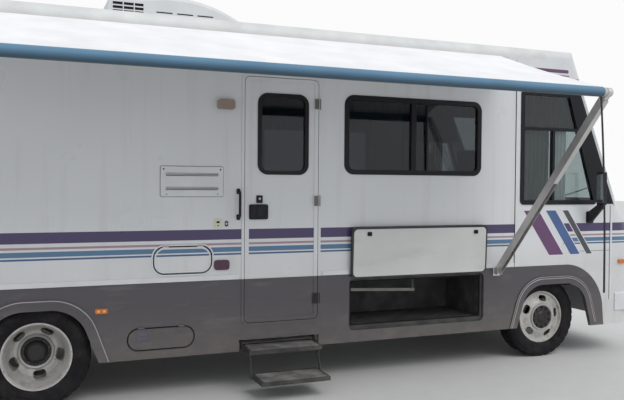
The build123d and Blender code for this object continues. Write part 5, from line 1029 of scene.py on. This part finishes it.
def make_arch_edges():
    edges = Mesh()
    for side in BOTH:
        for rear0, front0, rear1, front1, top, radius, lines in ARCHES:
            for grow in lines:
                high = top + grow
                share = (ARCH_FOOT - ARCH_START) / (high - ARCH_START)
                rear = (rear0 - grow, rear1 - 0.8 * grow)
                front = (front0 + grow, front1 + 0.8 * grow)
                y = side * (SKIN_Y + ARCH_OUT)
                corners = [
                    (rear[0] + (rear[1] - rear[0]) * share, y, ARCH_FOOT), (rear[1], y, high), (front[1], y, high),
                    (front[0] + (front[1] - front[0]) * share, y, ARCH_FOOT),
                ]
                edges.tube(bent(corners, radius + grow, 14), 0.0042 if grow < 0.075 else 0.0028, 8)
    # the beads' light grey is a painted highlight
    edges.finish("arch_edges", "bead_painted_highlight", "skirt_grey")


# Slanted bars on the cab side, each with a pale outline
BARS = (
    # rear edge at the top, width, colour
    (4.490, 0.200, "bar_plum"),
    (4.760, 0.140, "bar_blue"),
    (4.970, 0.090, "bar_grey"),
)
BAR_TOP, BAR_FOOT, BAR_RUN = 1.505, 1.040, 0.330
BAR_EDGE = 0.008                        # width of the pale outline
BAR_SLANT = 1.22                        # length along X for each metre across a slanted edge


def make_bars():
    for side, word in SIDES:
        place = on_side(side)
        edges = Mesh()
        for x, width, finish in BARS:
            def outline(inset, x=x, width=width):
                top, foot = BAR_TOP - inset, BAR_FOOT + inset
                run = [BAR_RUN * (BAR_TOP - z) / (BAR_TOP - BAR_FOOT) for z in (top, foot)]
                side_in = inset * BAR_SLANT
                return [(x + side_in + run[0], top), (x + width - side_in + run[0], top),
                        (x + width - side_in + run[1], foot), (x + side_in + run[1], foot)]
            bar = Mesh()
            bar.plate(lambda inset: outline(inset + BAR_EDGE), place, -0.0005, 0.0016, 0.0004)
            bar.finish(f"{finish}_{word}", finish, "body_white")
            edges.plate(outline, place, -0.0005, 0.0010, 0.0003)
        edges.finish(f"bar_edges_{word}", "bar_edge", "body_white")


# Storage box: seal with round corners inside the mouth, and the rail along its back
MOUTH = (2.6272, 4.0198, 0.4762, 0.8798)


def make_storage_trim():
    seal = Mesh()
    x0, x1, z0, z1 = MOUTH
    outer = rounded(x0, x1, z0, z1, 0.002)()
    inner = rounded(x0 + 0.010, x1 - 0.010, z0 + 0.010, z1 - 0.010, 0.045)()
    for side in BOTH:
        place = on_side(side, -0.0305)
        rows = ((outer, -0.012), (outer, -0.0003), (inner, -0.0003), (inner, -0.012))
        seal.skin([[place(u, v, out) for u, v in line] for line, out in rows], ring=True, loop=True)
    seal.finish("storage_seals", "seal", "compartment_sheet")
    rail = Mesh()
    y = -SKIN_Y + 0.075
    rail.sweep([(x0 - 0.001, y, 0.795), (3.318, y, 0.764)], bar_section(0.002, 0.013), (0, 1, 0))
    rail.finish("storage_rail", "worn_steel", "compartment_sheet")
    hanger = Mesh()
    hanger.sweep([(3.300, y + 0.004, z) for z in (0.7535, z1 + 0.0005)], bar_section(0.010, 0.002), (1, 0, 0))
    hanger.finish("storage_rail_hanger", "compartment", "compartment_sheet")


# Step pads: worn grit on both treads
PADS = (
    # body, x0, x1, y0, y1, top
    ("step_upper_tread", 1.650, 2.255, -1.378, -1.150, 0.370),
    ("step_lower_tread", 1.678, 2.227, -1.628, -1.372, 0.170),
)


def make_step_pads():
    for body, x0, x1, y0, y1, top in PADS:
        pad = Mesh()
        pad.plate(rounded(x0, x1, y0, y1, 0.012), lambda u, v, out: Vector((u, v, top + out)), -0.001, 0.002)
        pad.finish(f"{body}_pad", "step_pad", "step_steel", body)


# Nose: grille mesh, lamp bezels and wipers; mirror glass; blank plate and lamp rings at the rear
def make_ends():
    dark = Mesh()
    for i in range(29):
        y = -0.434 + 0.031 * i
        dark.plate(rounded(y, y + 0.006, 0.745, 1.030, 0.001), on_cross(NOSE_X - 0.052, 1), -0.004, 0.004)
    dark.finish("grille_bars", "plastic", "frame_black")
    bezels = Mesh()
    for y in (-0.790, -0.600, 0.600, 0.790):
        outline = rounded(y - 0.092, y + 0.092, 0.804, 0.932, 0.020)
        bezels.band(outline, on_cross(NOSE_X, 1), -0.004, 0.008, 0.011, 0.003)
    bezels.finish("lamp_bezels", "aluminium", "trim_aluminium")
    wipers = Mesh()
    up = Vector((-CAB_SLOPE, 0, 1)).normalized()
    for y in (0.960, -0.120):
        foot = Vector((cab_front(1.585) + 0.030, y, 1.585))
        tip = Vector((cab_front(1.700) + 0.034, y - 0.52, 1.700))
        wipers.tube([foot - Vector((0.045, 0, 0)), foot, tip], 0.006, 8)
        ends = [tip + Vector((-0.012, side * 0.18, 0)) - up * (0.045 * side) for side in BOTH]
        wipers.tube(ends, 0.005, 6)
    wipers.finish("wipers", "plastic", "frame_black")
    mirrors = Mesh()
    for side in BOTH:
        y0, y1 = sorted((side * 1.354, side * 1.446))
        mirrors.plate(rounded(y0, y1, 1.575, 1.865, 0.018), on_cross(5.294, -1), -0.001, 0.0015)
    mirrors.finish("mirror_glass", "mirror", "trim_aluminium")
    plate = Mesh()
    plate.plate(rounded(-0.152, 0.152, 0.700, 0.852, 0.010), on_cross(REAR_X, -1), -0.001, 0.004)
    plate.finish("rear_plate_blank", "trim_white", "body_white")
    rings = Mesh()
    for side in BOTH:
        y0, y1 = sorted((side * 0.933, side * 1.087))
        rings.band(rounded(y0, y1, 0.968, 1.272, 0.022), on_cross(REAR_X, -1), -0.001, 0.012, 0.008)
    rings.finish("tail_lamp_rings", "aluminium", "trim_aluminium")


# Awning arms: a lever near the foot, and knobs at the foot and halfway up
ARM_FOOT = (-1.250, 0.917)
ARM_TOP = (-2.560, 2.499)
ARM_TOPS = (-1.190, 4.247)
ARM_LEAN = 0.060


def make_arm_parts():
    knobs, levers = Mesh(), Mesh()
    for x in ARM_TOPS:
        foot = Vector((x - ARM_LEAN, *ARM_FOOT))
        way = Vector((x, *ARM_TOP)) - foot
        length = way.length
        way.normalize()
        across = Vector((1, 0, 0)) - way * way.x
        out = across.cross(way).normalized()
        for share, reach in ((0.075, 0.012), (0.52, 0.012), (0.58, 0.010)):
            centre = foot + way * length * share
            knobs.tube([centre + across * (0.020 + end) for end in (0, reach)], 0.011, 10)
        centre = foot + way * length * 0.125
        levers.sweep([centre + across * 0.026 - way * 0.055, centre + across * 0.030 + way * 0.050],
                     bar_section(0.010, 0.004), out)
        levers.tube([centre + across * 0.020, centre + across * 0.034], 0.014, 12)
    knobs.finish("arm_knobs", "steel", "awning_aluminium")
    levers.finish("arm_levers", "plastic", "awning_aluminium")


make_details()
make_arch_edges()
make_bars()
make_storage_trim()
make_step_pads()
make_ends()
make_arm_parts()


# Stage: floor, lights and the camera where the photographer stood

CAMERA_PLACE = (-0.1194, -7.0491, 1.7568)
CAMERA_YAW, CAMERA_PITCH, CAMERA_ROLL = 0.3848, -0.0237, 0.0074     # radians; yaw towards +X
CAMERA_LENS = 41.68


def make_floor():
    bm = bmesh.new()
    bmesh.ops.create_grid(bm, x_segments=2, y_segments=2, size=60)
    mesh = bpy.data.meshes.new("floor_stage")
    bm.to_mesh(mesh)
    bm.free()
    obj = linked("floor_stage", mesh)
    obj.location = (1.5, 0, -0.0005)
    mesh.materials.append(plain("floor_stage", (0.62, 0.62, 0.61), 0.8, 0.02, 3.0, 0.0))


def make_world():
    world = bpy.data.worlds.new("studio")
    bpy.context.scene.world = world
    world.use_nodes = True
    tree = world.node_tree
    lit = tree.nodes["Background"]
    lit.inputs["Color"].default_value = (0.93, 0.96, 1.0, 1)
    lit.inputs["Strength"].default_value = 0.80
    shown = tree.nodes.new("ShaderNodeBackground")
    shown.inputs["Color"].default_value = (0.97, 0.97, 0.97, 1)
    rays = tree.nodes.new("ShaderNodeLightPath")
    mix = tree.nodes.new("ShaderNodeMixShader")
    share = tree.nodes.new("ShaderNodeMath")
    share.operation = "MAXIMUM"
    for source, target in (
        (rays.outputs["Is Camera Ray"], share.inputs[0]), (rays.outputs["Is Transmission Ray"], share.inputs[1]),
        (share.outputs[0], mix.inputs[0]), (lit.outputs[0], mix.inputs[1]), (shown.outputs[0], mix.inputs[2]),
        (mix.outputs[0], tree.nodes["World Output"].inputs["Surface"]),
    ):
        tree.links.new(source, target)


def make_sun():
    light = bpy.data.lights.new("sun", "SUN")
    light.energy = 1.1
    light.angle = radians(35)
    light.color = (1.0, 0.98, 0.95)
    linked("sun", light).rotation_euler = (radians(38), radians(14), 0)


def make_camera():
    forward = Vector((sin(CAMERA_YAW) * cos(CAMERA_PITCH), cos(CAMERA_YAW) * cos(CAMERA_PITCH), sin(CAMERA_PITCH)))
    level = Vector((cos(CAMERA_YAW), -sin(CAMERA_YAW), 0))
    rise = level.cross(forward)
    right = cos(CAMERA_ROLL) * level + sin(CAMERA_ROLL) * rise
    up = cos(CAMERA_ROLL) * rise - sin(CAMERA_ROLL) * level
    camera = bpy.data.cameras.new("camera")
    camera.lens = CAMERA_LENS
    camera.sensor_width = 36
    camera.sensor_fit = "HORIZONTAL"
    obj = linked("camera", camera)
    turn = Matrix((right, up, -forward)).transposed().to_4x4()
    obj.matrix_world = Matrix.Translation(CAMERA_PLACE) @ turn
    bpy.context.scene.camera = obj


make_floor()
make_world()
make_sun()
make_camera()
bpy.context.scene.view_settings.view_transform = "Standard"
